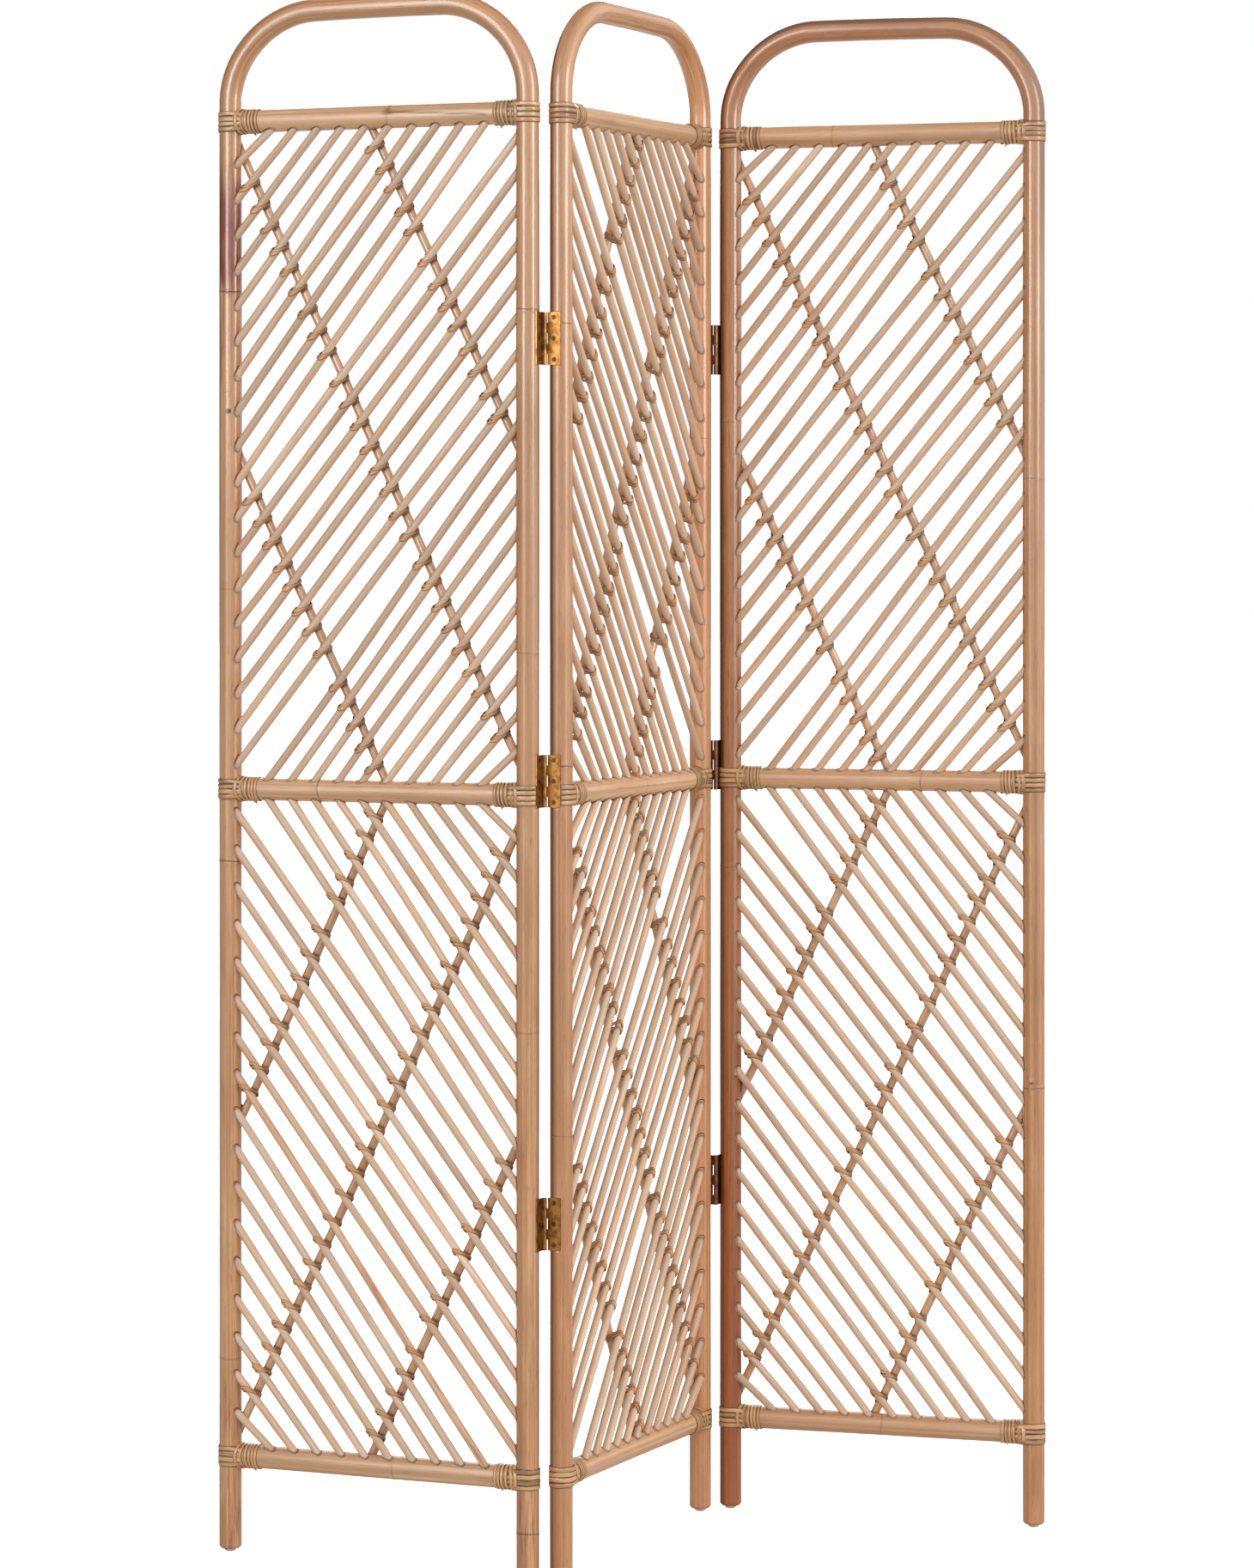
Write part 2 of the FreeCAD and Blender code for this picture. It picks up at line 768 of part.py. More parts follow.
def build():
    """All pieces at their standing places, with the origin under the middle of the screen."""
    nodes = {}
    for side in ("left", "middle", "right"):
        nodes.update(panel_nodes(side))
    nodes.update(hinge_nodes())
    places = panel_places()
    shapes = {}
    for name, (side, solids) in nodes.items():
        solids = [solid for piece in solids for solid in piece.Solids]
        shape = Part.Compound(solids) if len(solids) > 1 else solids[0]
        shape.Placement = places[side].multiply(shape.Placement)
        shapes[name] = shape
    whole = FreeCAD.BoundBox()
    for name, shape in shapes.items():
        if name.endswith("arch_pole"):
            whole.add(shape.optimalBoundingBox(False, False))
    centre = Vector(-whole.Center.x, -whole.Center.y, 0)
    for shape in shapes.values():
        shape.translate(centre)
    for side, place in places.items():
        post = place.Base + centre
        print(f"{side} panel: left post at {post.x:.3f} {post.y:.3f}, heading {place.Rotation.Angle:.5f}")
    for line_name, line in lines.items():
        x_post, outward, pin_side = line["middle"]
        local = Vector(x_post + outward * pin_outward, pin_side * pin_sideways, 0)
        pin = places["middle"].multVec(local) + centre
        print(f"{line_name} hinge pin at {pin.x:.3f} {pin.y:.3f}")
    return shapes


os.makedirs("parts", exist_ok=True)
print(f"least gap between turns of a rail wrap: {least_wrap_gap():.2f} mm")
for node_name, node_shape in build().items():
    node_shape.exportStep(f"parts/{node_name}.step")
    print(f"{node_name}: {len(node_shape.Solids)} solids, valid {node_shape.isValid()}")
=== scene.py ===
"""Looks of a folding rattan screen: three arched panels on butt hinges, on a pale studio floor."""

import json
import logging
import math
import random
from collections.abc import Sequence
from dataclasses import dataclass, field
from enum import Enum

import bpy
import numpy as np
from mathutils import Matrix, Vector


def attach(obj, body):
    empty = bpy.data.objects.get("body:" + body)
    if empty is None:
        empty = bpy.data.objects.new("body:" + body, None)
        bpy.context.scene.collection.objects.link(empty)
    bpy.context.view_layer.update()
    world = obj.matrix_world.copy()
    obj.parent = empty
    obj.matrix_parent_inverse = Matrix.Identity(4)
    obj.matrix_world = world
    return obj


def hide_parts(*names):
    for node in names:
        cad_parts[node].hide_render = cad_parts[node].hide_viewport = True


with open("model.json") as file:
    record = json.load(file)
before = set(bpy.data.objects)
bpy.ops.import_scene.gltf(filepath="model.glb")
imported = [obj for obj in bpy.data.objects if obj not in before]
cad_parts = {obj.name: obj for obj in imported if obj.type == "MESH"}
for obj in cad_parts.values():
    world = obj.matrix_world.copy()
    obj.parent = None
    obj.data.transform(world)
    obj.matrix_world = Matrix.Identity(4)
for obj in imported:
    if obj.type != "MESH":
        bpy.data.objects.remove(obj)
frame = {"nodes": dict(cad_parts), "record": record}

LOG = logging.getLogger("screen")
MM = 0.001

# Ranges that chance draws from: where on the grain a piece was cut, and how far round a wave is turned.
POLE_STARTS = (0, 40)
CANE_STARTS = (0, 60)
PHASES = (0, 6)

# The three marks that each point of a piece carries: stain, dark line, and dirt together with painted shade.
STAIN, LINE, DIRT_AND_SHADE = range(3)
PLAIN_TONE = np.zeros(3)

Points = np.ndarray
Material = bpy.types.Material
Node = bpy.types.Node
NodeTree = bpy.types.NodeTree
Socket = bpy.types.NodeSocket
Pair = tuple[float, float]
Triple = tuple[float, float, float]
Shade = tuple[int, int, int]
Ends = tuple[np.ndarray, np.ndarray, str, str]


# Small tools


def shade(red: int, green: int, blue: int) -> tuple[float, float, float, float]:
    """Turns a colour as the eye sees it, 0 to 255, into a linear one.

    Args:
        red: Red as seen.
        green: Green as seen.
        blue: Blue as seen.

    Returns:
        The linear colour with full cover.
    """
    full, straight_end, slope, offset, power = 255, 0.04045, 12.92, 0.055, 2.4
    linear = []
    for value in (red, green, blue):
        part = value / full
        linear.append(part / slope if part <= straight_end else ((part + offset) / (1 + offset)) ** power)
    return linear[0], linear[1], linear[2], 1.0


def soft_step(value: Points, low: float, high: float) -> Points:
    """How far values have risen, smoothly, from 0 at low to 1 at high."""
    part = np.clip((value - low) / (high - low), 0, 1)
    return part * part * (3 - 2 * part)


def bump_at(value: Points, centre: float, reach: float) -> Points:
    """A round bump of height 1 at its centre that is gone at its reach."""
    return 1 - soft_step(np.abs(value - centre), 0, reach)


def wander(run: Points, wave: float, dice: random.Random) -> Points:
    """A slow random curve between about -1 and 1.

    Args:
        run: Distances along the piece, in metres.
        wave: The longest wave, in metres.
        dice: Where the chance comes from.

    Returns:
        The curve's height at each distance.
    """
    shares, whole_turn, highest = (1.0, 0.53, 0.31), 6.28, 1.84
    total = np.zeros_like(run)
    for share in shares:
        total = total + share * np.sin(2 * math.pi * run / (wave * share) + dice.uniform(0, whole_turn))
    return total / highest


def run_of(line: Points) -> Points:
    """Distances along a line of points, starting at zero."""
    steps = np.linalg.norm(np.diff(line, axis=0), axis=1)
    return np.concatenate(([0.0], np.cumsum(steps)))


def unit(vectors: Points) -> Points:
    """The same directions at length one."""
    return vectors / np.linalg.norm(vectors, axis=-1, keepdims=True)


def turns_of(sides: int) -> Points:
    """The angles of the points round a section, evenly spaced."""
    return np.linspace(0, 2 * math.pi, sides, endpoint=False)


def angle_from(turn: Points, facing: float | Points) -> Points:
    """How far angles are from the one that something faces, the shorter way round."""
    return np.abs((turn - facing + math.pi) % (2 * math.pi) - math.pi)


def round_section(turn: Points, radius: Points) -> Points:
    """Round sections, as points across and outward, from their angles and radii."""
    return np.stack((np.cos(turn) * radius, np.sin(turn) * radius), axis=2)


def strip_section(width: float, crown: float, steps: int = 6) -> Points:
    """The section of a split strip: flat below and crowned above.

    Args:
        width: Full width across.
        crown: Height of the crown above the flat side.
        steps: How many faces the crown has.

    Returns:
        Points across and outward.
    """
    edge, rise = 0.25, 0.75
    turn = np.linspace(0, math.pi, steps + 1)
    crest = np.stack((np.cos(turn) * width / 2, edge * crown + np.sin(turn) * crown * rise), axis=1)
    base = np.array([[-width / 2, 0.0], [width / 2, 0.0]])
    return np.concatenate((crest, base))


def strip_sections(widths: Points, crown: float) -> Points:
    """A strip's section at each of several widths."""
    scales = np.stack((widths, np.full_like(widths, crown)), axis=1)
    return strip_section(1.0, 1.0)[None] * scales[:, None]


# Panels and where they stand


class Side(Enum):
    """The three panels as seen from the front."""

    LEFT = "left"
    MIDDLE = "middle"
    RIGHT = "right"


class Section(Enum):
    """The two grilles of a panel."""

    UPPER = "upper"
    LOWER = "lower"


class Post(Enum):
    """The two posts of a panel, by the sign that points from the post into the panel."""

    LEFT = 1
    RIGHT = -1


@dataclass(frozen=True)
class Place:
    """Where one panel stands: its left post on the floor and its two level directions."""

    side: Side
    foot: Points
    along: Points
    back: Points

    @classmethod
    def of(cls, side: Side) -> "Place":
        """Reads the place of a panel from the feet in the frame's record.

        Args:
            side: Which panel.

        Returns:
            The panel's place.
        """
        feet = {mount["name"]: np.array(mount["pos_m"]) for mount in frame["record"]["mounts"]}
        left = feet[f"{side.value}_panel_left_foot"]
        right = feet[f"{side.value}_panel_right_foot"]
        along = unit(right - left)
        return cls(side, left, along, np.array([-along[1], along[0], 0.0]))

    @property
    def body(self) -> str:
        """The name of the body that the panel's pieces ride on."""
        return f"{self.side.value}_panel"

    def world(self, points: Points) -> Points:
        """Moves points given as along, back and up to where the panel stands."""
        up = np.array([0.0, 0.0, 1.0])
        return self.foot + points[..., :1] * self.along + points[..., 1:2] * self.back + points[..., 2:] * up

    def rises(self, section: Section) -> bool:
        """Whether the slats of a section climb to the right."""
        return (self.side is not Side.MIDDLE) == (section is Section.UPPER)


@dataclass(frozen=True)
class Sizes:
    """The sizes that all panels share, in metres."""

    height: float = 1806 * MM
    spacing: float = 374.6 * MM
    pole_radius: float = 13.2 * MM
    corner_radius: float = 107 * MM
    foot_gap: float = 4 * MM
    bottom_rail: float = 112 * MM
    middle_rail: float = 888.5 * MM
    top_rail: float = 1665 * MM
    slat_radius: float = 4.5 * MM
    slat_depth: float = -4.8 * MM
    brace_radius: float = 5 * MM
    brace_depth: float = 5.1 * MM
    socket: float = 8 * MM
    first_on_post: float = 34.8 * MM
    last_on_post: float = 17.9 * MM
    inset_on_rail: float = 52 * MM
    brace_slope: float = math.radians(63.6)
    brace_offset: float = 178 * MM
    hinge_half: float = 30.1 * MM
    hinge_heights: tuple[float, ...] = (1408 * MM, 904 * MM, 400 * MM)
    leaf_seat: float = 12 * MM
    leaf_front: float = 5.4 * MM
    slats_on_post: int = 18
    slats_on_rail: int = 10

    @property
    def rails(self) -> Triple:
        """Heights of the three rails, lowest first."""
        return self.bottom_rail, self.middle_rail, self.top_rail

    def section_span(self, section: Section) -> Pair:
        """Heights of the two rails that close a section."""
        if section is Section.UPPER:
            return self.middle_rail, self.top_rail
        return self.bottom_rail, self.middle_rail

    def slat_counts(self, side: Side, section: Section) -> tuple[int, int]:
        """How many slat ends sit on each post and on each rail of a section."""
        on_post, on_rail = self.slats_on_post, self.slats_on_rail
        if side is Side.LEFT and section is Section.LOWER:
            on_post -= 1
        if side is Side.MIDDLE:
            on_rail += 1
        return on_post, on_rail


SIZES = Sizes()


# Meshes


class Draft:
    """Gathers swept pieces into one mesh, with the marks that its finish reads."""

    def __init__(self, place: Place) -> None:
        """Starts an empty draft.

        Args:
            place: The panel in whose directions the points are given.
        """
        self.place = place
        self.points: list[Points] = []
        self.faces: list[list[int]] = []
        self.grain: list[Points] = []
        self.tone: list[Points] = []
        self.marks: list[Points] = []
        self.count = 0

    def sweep(self, line: Points, across: Points, outward: Points, section: Points, tone: Points,
              marks: Points | None = None, start: float = 0.0, closed: bool = False) -> None:
        """Sweeps a section along a line.

        Args:
            line: The points of the line.
            across: The section's first direction at each point.
            outward: The section's second direction at each point.
            section: The section's points, the same all along or one set for each point of the line.
            tone: Lightness and warmth of the piece, about zero, and a third number that is not read.
            marks: Stain, dark line, and dirt together with painted shade at each point of each section.
            start: Where on the grain the piece was cut.
            closed: Whether the line's end joins its start.
        """
        rings, sides = len(line), section.shape[-2]
        shape = np.broadcast_to(section, (rings, sides, 2))
        body = line[:, None] + across[:, None] * shape[..., :1] + outward[:, None] * shape[..., 1:]
        run = np.broadcast_to((run_of(line) + start)[:, None, None], (rings, sides, 1))
        self.points.append(body.reshape(-1, 3))
        self.grain.append(np.concatenate((shape, run), axis=2).reshape(-1, 3))
        self.tone.append(np.broadcast_to(tone, (rings, sides, 3)).reshape(-1, 3))
        if marks is None:
            marks = np.zeros((rings, sides, 3))
        self.marks.append(np.array(np.broadcast_to(marks, (rings, sides, 3))).reshape(-1, 3))
        middle = rings // 2
        turned = np.dot(np.cross(across[middle], outward[middle]), line[middle] - line[middle - 1]) < 0
        self._weave(rings, sides, bool(turned), closed)

    def shell(self, body: Points, tone: Points, marks: Points) -> None:
        """Adds rings of points that are already in place, closed at both ends.

        Args:
            body: The points of each ring.
            tone: The tone of the piece.
            marks: The marks of each point.
        """
        rings, sides = body.shape[:2]
        self.points.append(body.reshape(-1, 3))
        self.grain.append(body.reshape(-1, 3).copy())
        self.tone.append(np.tile(tone, (rings * sides, 1)))
        self.marks.append(np.array(marks).reshape(-1, 3))
        centre = body[0].mean(axis=0)
        turn = np.cross(body[0, 0] - centre, body[0, 1] - centre)
        turned = np.dot(turn, body[-1].mean(axis=0) - centre) < 0
        self._weave(rings, sides, bool(turned), False)

    def _weave(self, rings: int, sides: int, turned: bool, closed: bool) -> None:
        """Adds the faces of the last sweep.

        Args:
            rings: How many sections it has.
            sides: How many points a section has.
            turned: Whether the faces have to be turned over.
            closed: Whether the last section joins the first.
        """
        last = rings if closed else rings - 1
        ring, side = np.meshgrid(np.arange(last), np.arange(sides), indexing="ij")
        after, beside = (ring + 1) % rings, (side + 1) % sides
        quads = np.stack((ring * sides + side, ring * sides + beside,
                          after * sides + beside, after * sides + side), axis=2).reshape(-1, 4)
        if turned:
            quads = quads[:, ::-1]
        self.faces += (quads + self.count).tolist()
        if not closed:
            first = [self.count + index for index in range(sides)]
            end = [index + (rings - 1) * sides for index in first]
            self.faces += [first, end[::-1]] if turned else [first[::-1], end]
        self.count += rings * sides

    def build(self, name: str, nodes: Sequence[str], slot: str,
              finish: Material) -> bpy.types.Object:
        """Makes the piece and sets it on its panel.

        Args:
            name: The piece's name.
            nodes: The nodes that it stands for.
            slot: The record's material slot, not used.
            finish: The piece's material.

        Returns:
            The finished piece.
        """
        mesh = bpy.data.meshes.new(name)
        points = self.place.world(np.concatenate(self.points))
        mesh.from_pydata(points.tolist(), [], self.faces)
        for title, parts in (("grain", self.grain), ("tone", self.tone), ("marks", self.marks)):
            layer = mesh.attributes.new(title, "FLOAT_VECTOR", "POINT")
            layer.data.foreach_set("vector", np.concatenate(parts).astype(np.float32).ravel())
        mesh.shade_smooth()
        mesh.materials.append(finish)
        piece = bpy.data.objects.new(name, mesh)
        bpy.context.scene.collection.objects.link(piece)
        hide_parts(*nodes)
        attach(piece, self.place.body)
        LOG.info("%s: %d points", name, len(points))
        return piece


def darken(marks: Points, channel: int, strength: Points) -> None:
    """Raises one of the marks to a strength where it is weaker."""
    marks[..., channel] = np.maximum(marks[..., channel], strength)


def level_sweep(draft: Draft, line: Points, section: Points, tone: Points,
                marks: Points | None = None, start: float = 0.0) -> None:
    """Sweeps a section along a line that lies about level with the panel.

    Args:
        draft: Where the piece goes.
        line: The points of the line.
        section: The section's points.
        tone: The piece's tone.
        marks: The piece's marks.
        start: Where on the grain the piece was cut.
    """
    ahead = unit(np.gradient(line, axis=0))
    back = np.broadcast_to(np.array([0.0, 1.0, 0.0]), line.shape)
    across = unit(np.cross(back, ahead))
    outward = np.cross(ahead, across)
    draft.sweep(line, across, outward, section, tone, marks, start)


# Finishes


class Net:
    """Places and links shader nodes in one tree."""

    def __init__(self, tree: NodeTree) -> None:
        """Starts on the tree that gets the nodes."""
        self.tree = tree

    def node(self, kind: str, **settings: object) -> Node:
        """Adds a node.

        Args:
            kind: Its type.
            **settings: Its own settings.

        Returns:
            The node.
        """
        made = self.tree.nodes.new(kind)
        for name, value in settings.items():
            setattr(made, name, value)
        return made

    def feed(self, socket: Socket, value: object) -> None:
        """Links a socket to another one, or sets its value."""
        if isinstance(value, Socket):
            self.tree.links.new(value, socket)
        else:
            socket.default_value = value

    def feed_all(self, node: Node, values: dict[str, object]) -> None:
        """Feeds several sockets of a node, by their names."""
        for title, value in values.items():
            self.feed(node.inputs[title], value)

    def sum_of(self, operation: str, *values: object, clamp: bool = False) -> Socket:
        """A number worked out from others.

        Args:
            operation: What is done.
            *values: Numbers or sockets.
            clamp: Whether the result stays between 0 and 1.

        Returns:
            The result's socket.
        """
        made = self.node("ShaderNodeMath", operation=operation, use_clamp=clamp)
        for socket, value in zip(made.inputs, values):
            self.feed(socket, value)
        return made.outputs[0]

    def stretch(self, vector: object, factors: object) -> Socket:
        """A vector times another one."""
        made = self.node("ShaderNodeVectorMath", operation="MULTIPLY")
        self.feed(made.inputs[0], vector)
        self.feed(made.inputs[1], factors)
        return made.outputs[0]

    def parts(self, vector: object) -> Sequence[Socket]:
        """The three parts of a vector."""
        made = self.node("ShaderNodeSeparateXYZ")
        self.feed(made.inputs[0], vector)
        return made.outputs

    def mix(self, share: object, first: object, second: object) -> Socket:
        """A colour between two.

        Args:
            share: How much of the second one.
            first: A colour or socket.
            second: A colour or socket.

        Returns:
            The colour's socket.
        """
        made = self.node("ShaderNodeMix", data_type="RGBA")
        self.feed(made.inputs["Factor"], share)
        self.feed(made.inputs[6], first)
        self.feed(made.inputs[7], second)
        return made.outputs[2]

    def noise(self, place: object, scale: float = 1.0, detail: float = 3.0,
              rough: float = 0.55) -> Socket:
        """Cloudy noise between 0 and 1.

        Args:
            place: Where to look.
            scale: How fine it is.
            detail: How many layers it has.
            rough: How strong its fine layers are.

        Returns:
            The noise's socket.
        """
        made = self.node("ShaderNodeTexNoise")
        self.feed_all(made, {"Vector": place, "Scale": scale, "Detail": detail, "Roughness": rough})
        return made.outputs["Fac"]

    def between(self, value: object, low: float, high: float, first: float = 0.0,
                second: float = 1.0) -> Socket:
        """A value moved smoothly from one range to another.

        Args:
            value: A number or socket.
            low: Where the old range starts.
            high: Where it ends.
            first: Where the new range starts.
            second: Where it ends.

        Returns:
            The moved value's socket.
        """
        made = self.node("ShaderNodeMapRange", interpolation_type="SMOOTHSTEP")
        for socket, part in zip(made.inputs, (value, low, high, first, second)):
            self.feed(socket, part)
        return made.outputs[0]

    def attribute(self, name: str) -> Socket:
        """A vector that the mesh carries."""
        return self.node("ShaderNodeAttribute", attribute_name=name).outputs["Vector"]

    def bump(self, surface: Node, height: Socket, distance: float, share: float) -> None:
        """Gives a surface a fine relief.

        Args:
            surface: The surface's node.
            height: The relief's height, from 0 to 1.
            distance: How deep it is in metres.
            share: How strong it shows.
        """
        made = self.node("ShaderNodeBump")
        self.feed_all(made, {"Distance": distance, "Strength": share, "Height": height})
        self.feed(surface.inputs["Normal"], made.outputs["Normal"])


def new_material(name: str) -> tuple[Material, Net, Node]:
    """Makes a material, its net and the node of its surface."""
    made = bpy.data.materials.new(name)
    made.use_nodes = True
    return made, Net(made.node_tree), made.node_tree.nodes["Principled BSDF"]


def new_group(name: str, inputs: dict[str, str],
              outputs: dict[str, str]) -> tuple[NodeTree, Net, Node, Node]:
    """Makes an empty node group with its sockets.

    Args:
        name: The group's name.
        inputs: Socket types by name.
        outputs: Socket types by name.

    Returns:
        The group, its net, its input node and its output node.
    """
    group = bpy.data.node_groups.new(name, "ShaderNodeTree")
    for way, sockets in (("INPUT", inputs), ("OUTPUT", outputs)):
        for title, kind in sockets.items():
            group.interface.new_socket(title, in_out=way, socket_type=f"NodeSocket{kind}")
    net = Net(group)
    return group, net, net.node("NodeGroupInput"), net.node("NodeGroupOutput")


def fibre_group() -> NodeTree:
    """Streaks, bands and short dark flecks that run along a cane's fibres.

    Returns:
        The group: Grain, Fineness and Stretch in, Streak, Fleck, Band, Tint and Height out.
    """
    group, net, given, made = new_group(
        "Fibres", {"Grain": "Vector", "Fineness": "Float", "Stretch": "Float"},
        {"Streak": "Float", "Fleck": "Float", "Band": "Float", "Tint": "Float", "Height": "Float"})
    fleck_scales, band_scales, tint_scales = (3.0, 3.0, 14.0), (0.5, 0.5, 0.3), (0.8, 0.8, -0.4)
    streak_range, fleck_range, band_range = (0.37, 0.64), (0.57, 0.76), (0.34, 0.66)
    least_tint, fleck_depth = -0.25, 0.8
    fineness = given.outputs["Fineness"]
    lengthwise = net.sum_of("DIVIDE", fineness, given.outputs["Stretch"])
    factors = net.node("ShaderNodeCombineXYZ")
    for socket, factor in zip(factors.inputs, (fineness, fineness, lengthwise)):
        net.feed(socket, factor)
    place = net.stretch(given.outputs["Grain"], factors.outputs[0])
    streak = net.between(net.noise(place, detail=4.0, rough=0.6), *streak_range)
    fleck, band, tint = (net.noise(net.stretch(place, scales), detail=2.0, rough=0.5)
                         for scales in (fleck_scales, band_scales, tint_scales))
    fleck = net.between(fleck, *fleck_range)
    net.feed(made.inputs["Streak"], streak)
    net.feed(made.inputs["Fleck"], fleck)
    net.feed(made.inputs["Band"], net.between(band, *band_range, -1.0, 1.0))
    net.feed(made.inputs["Tint"], net.between(tint, *band_range, least_tint, 1.0))
    dent = net.sum_of("MULTIPLY", fleck, fleck_depth)
    net.feed(made.inputs["Height"], net.sum_of("SUBTRACT", streak, dent))
    return group


def patch_group() -> NodeTree:
    """Lighter and darker patches of cane skin, and the tone of each single cane.

    Returns:
        The group: Grain, Tone, Base, Light and Dark in, Color out.
    """
    group, net, given, made = new_group(
        "Patches",
        {"Grain": "Vector", "Tone": "Vector", "Base": "Color", "Light": "Color", "Dark": "Color"},
        {"Color": "Color"})
    patch_scales, light_range, dark_range = (55.0, 55.0, 9.0), (0.5, 0.78), (0.5, 0.2)
    tone_step, warm_steps = 0.16, (0.03, -0.05, -0.12)
    cloud = net.noise(net.stretch(given.outputs["Grain"], patch_scales))
    colour = net.mix(net.between(cloud, *light_range), given.outputs["Base"], given.outputs["Light"])
    colour = net.mix(net.between(cloud, *dark_range), colour, given.outputs["Dark"])
    lightness, warmth, _ = net.parts(given.outputs["Tone"])
    factors = net.node("ShaderNodeCombineXYZ")
    bright = net.sum_of("MULTIPLY_ADD", lightness, tone_step, 1.0)
    for socket, share in zip(factors.inputs, warm_steps):
        net.feed(socket, net.sum_of("MULTIPLY_ADD", warmth, share, bright))
    net.feed(made.inputs["Color"], net.stretch(colour, factors.outputs[0]))
    return group


def marks_group() -> NodeTree:
    """Stains, thin dark lines, and dirt together with painted shade, each with an uneven edge.

    Returns:
        The group: Color, Marks, Grain, Stain and Line in; Color, and the share of dirt and painted shade,
            out.
    """
    group, net, given, made = new_group(
        "Marks",
        {"Color": "Color", "Marks": "Vector", "Grain": "Vector", "Stain": "Color", "Line": "Color"},
        {"Color": "Color", "DirtAndShade": "Float"})
    streak_scales, contrast, stain_range, stain_edge = (420.0, 420.0, 24.0), 2.2, (0.1, 1.1), 0.12
    line_range, faintest_line, dirt_and_shade_share = (0.2, 0.6), 0.55, 0.95
    stain, line, dirt_and_shade = net.parts(given.outputs["Marks"])
    uneven = net.noise(net.stretch(given.outputs["Grain"], streak_scales), rough=0.6)
    stained = net.sum_of("MULTIPLY_ADD", uneven, contrast, net.sum_of("SUBTRACT", stain, contrast / 2))
    stained = net.sum_of("MULTIPLY", net.between(stained, *stain_range), net.between(stain, 0.0, stain_edge))
    lined = net.sum_of("MULTIPLY", line, net.between(uneven, *line_range, faintest_line, 1.0), clamp=True)
    colour = net.mix(stained, given.outputs["Color"], given.outputs["Stain"])
    colour = net.mix(lined, colour, given.outputs["Line"])
    # The third mark darkens toward the line colour: real dirt in some places, painted shade in others.
    dirt_and_shade_cover = net.sum_of("MULTIPLY", dirt_and_shade, dirt_and_shade_share, clamp=True)
    colour = net.mix(dirt_and_shade_cover, colour, given.outputs["Line"])
    net.feed(made.inputs["Color"], colour)
    net.feed(made.inputs["DirtAndShade"], dirt_and_shade)
    return group


@dataclass(frozen=True)
class CaneFinish:
    """How one kind of cane looks, with colours as the eye sees them."""

    name: str
    base: Shade
    light: Shade
    dark: Shade
    streak: Shade
    stain: Shade
    line: Shade
    fineness: float = 900.0
    stretch: float = 45.0
    streak_share: float = 0.4
    fleck_share: float = 0.4
    band_share: float = 0.08
    tint_share: float = 0.06
    rough: float = 0.4
    rough_spread: float = 0.12
    varnish: float = 0.0
    varnish_rough: float = 0.15
    relief: float = 0.15 * MM
    relief_share: float = 0.6
    dirt_and_shade_rough: float = 0.5
    tint_parts: Triple = (0.4, -0.5, 0.1)

    def material(self, groups: dict[str, NodeTree]) -> Material:
        """Builds the finish.

        Args:
            groups: The shared effects by name.

        Returns:
            The material.
        """
        made, net, surface = new_material(self.name)
        grain, tone, marks = net.attribute("grain"), net.attribute("tone"), net.attribute("marks")
        fibres = net.node("ShaderNodeGroup", node_tree=groups["Fibres"])
        net.feed_all(fibres, {"Grain": grain, "Fineness": self.fineness, "Stretch": self.stretch})
        patches = net.node("ShaderNodeGroup", node_tree=groups["Patches"])
        net.feed_all(patches, {"Grain": grain, "Tone": tone, "Base": shade(*self.base),
                               "Light": shade(*self.light), "Dark": shade(*self.dark)})
        band = net.sum_of("MULTIPLY_ADD", fibres.outputs["Band"], self.band_share, 1.0)
        stripes = net.node("ShaderNodeCombineXYZ")
        for socket, part in zip(stripes.inputs, self.tint_parts):
            tint = net.sum_of("MULTIPLY_ADD", fibres.outputs["Tint"], part * self.tint_share, band)
            net.feed(socket, tint)
        colour = net.stretch(patches.outputs["Color"], stripes.outputs[0])
        for title, part, over in (("Streak", self.streak_share, self.streak),
                                  ("Fleck", self.fleck_share, self.line)):
            share = net.sum_of("MULTIPLY", fibres.outputs[title], part)
            colour = net.mix(share, colour, shade(*over))
        marked = net.node("ShaderNodeGroup", node_tree=groups["Marks"])
        net.feed_all(marked, {"Color": colour, "Marks": marks, "Grain": grain,
                              "Stain": shade(*self.stain), "Line": shade(*self.line)})
        rough = net.sum_of("MULTIPLY_ADD", fibres.outputs["Fleck"], self.rough_spread, self.rough)
        # Dirt and painted shade in the third mark both make the surface rougher.
        rough = net.sum_of("MULTIPLY_ADD", marked.outputs["DirtAndShade"], self.dirt_and_shade_rough, rough, clamp=True)
        net.feed_all(surface, {"Base Color": marked.outputs["Color"], "Roughness": rough,
                               "Coat Weight": self.varnish, "Coat Roughness": self.varnish_rough})
        net.bump(surface, fibres.outputs["Height"], self.relief, self.relief_share)
        return made


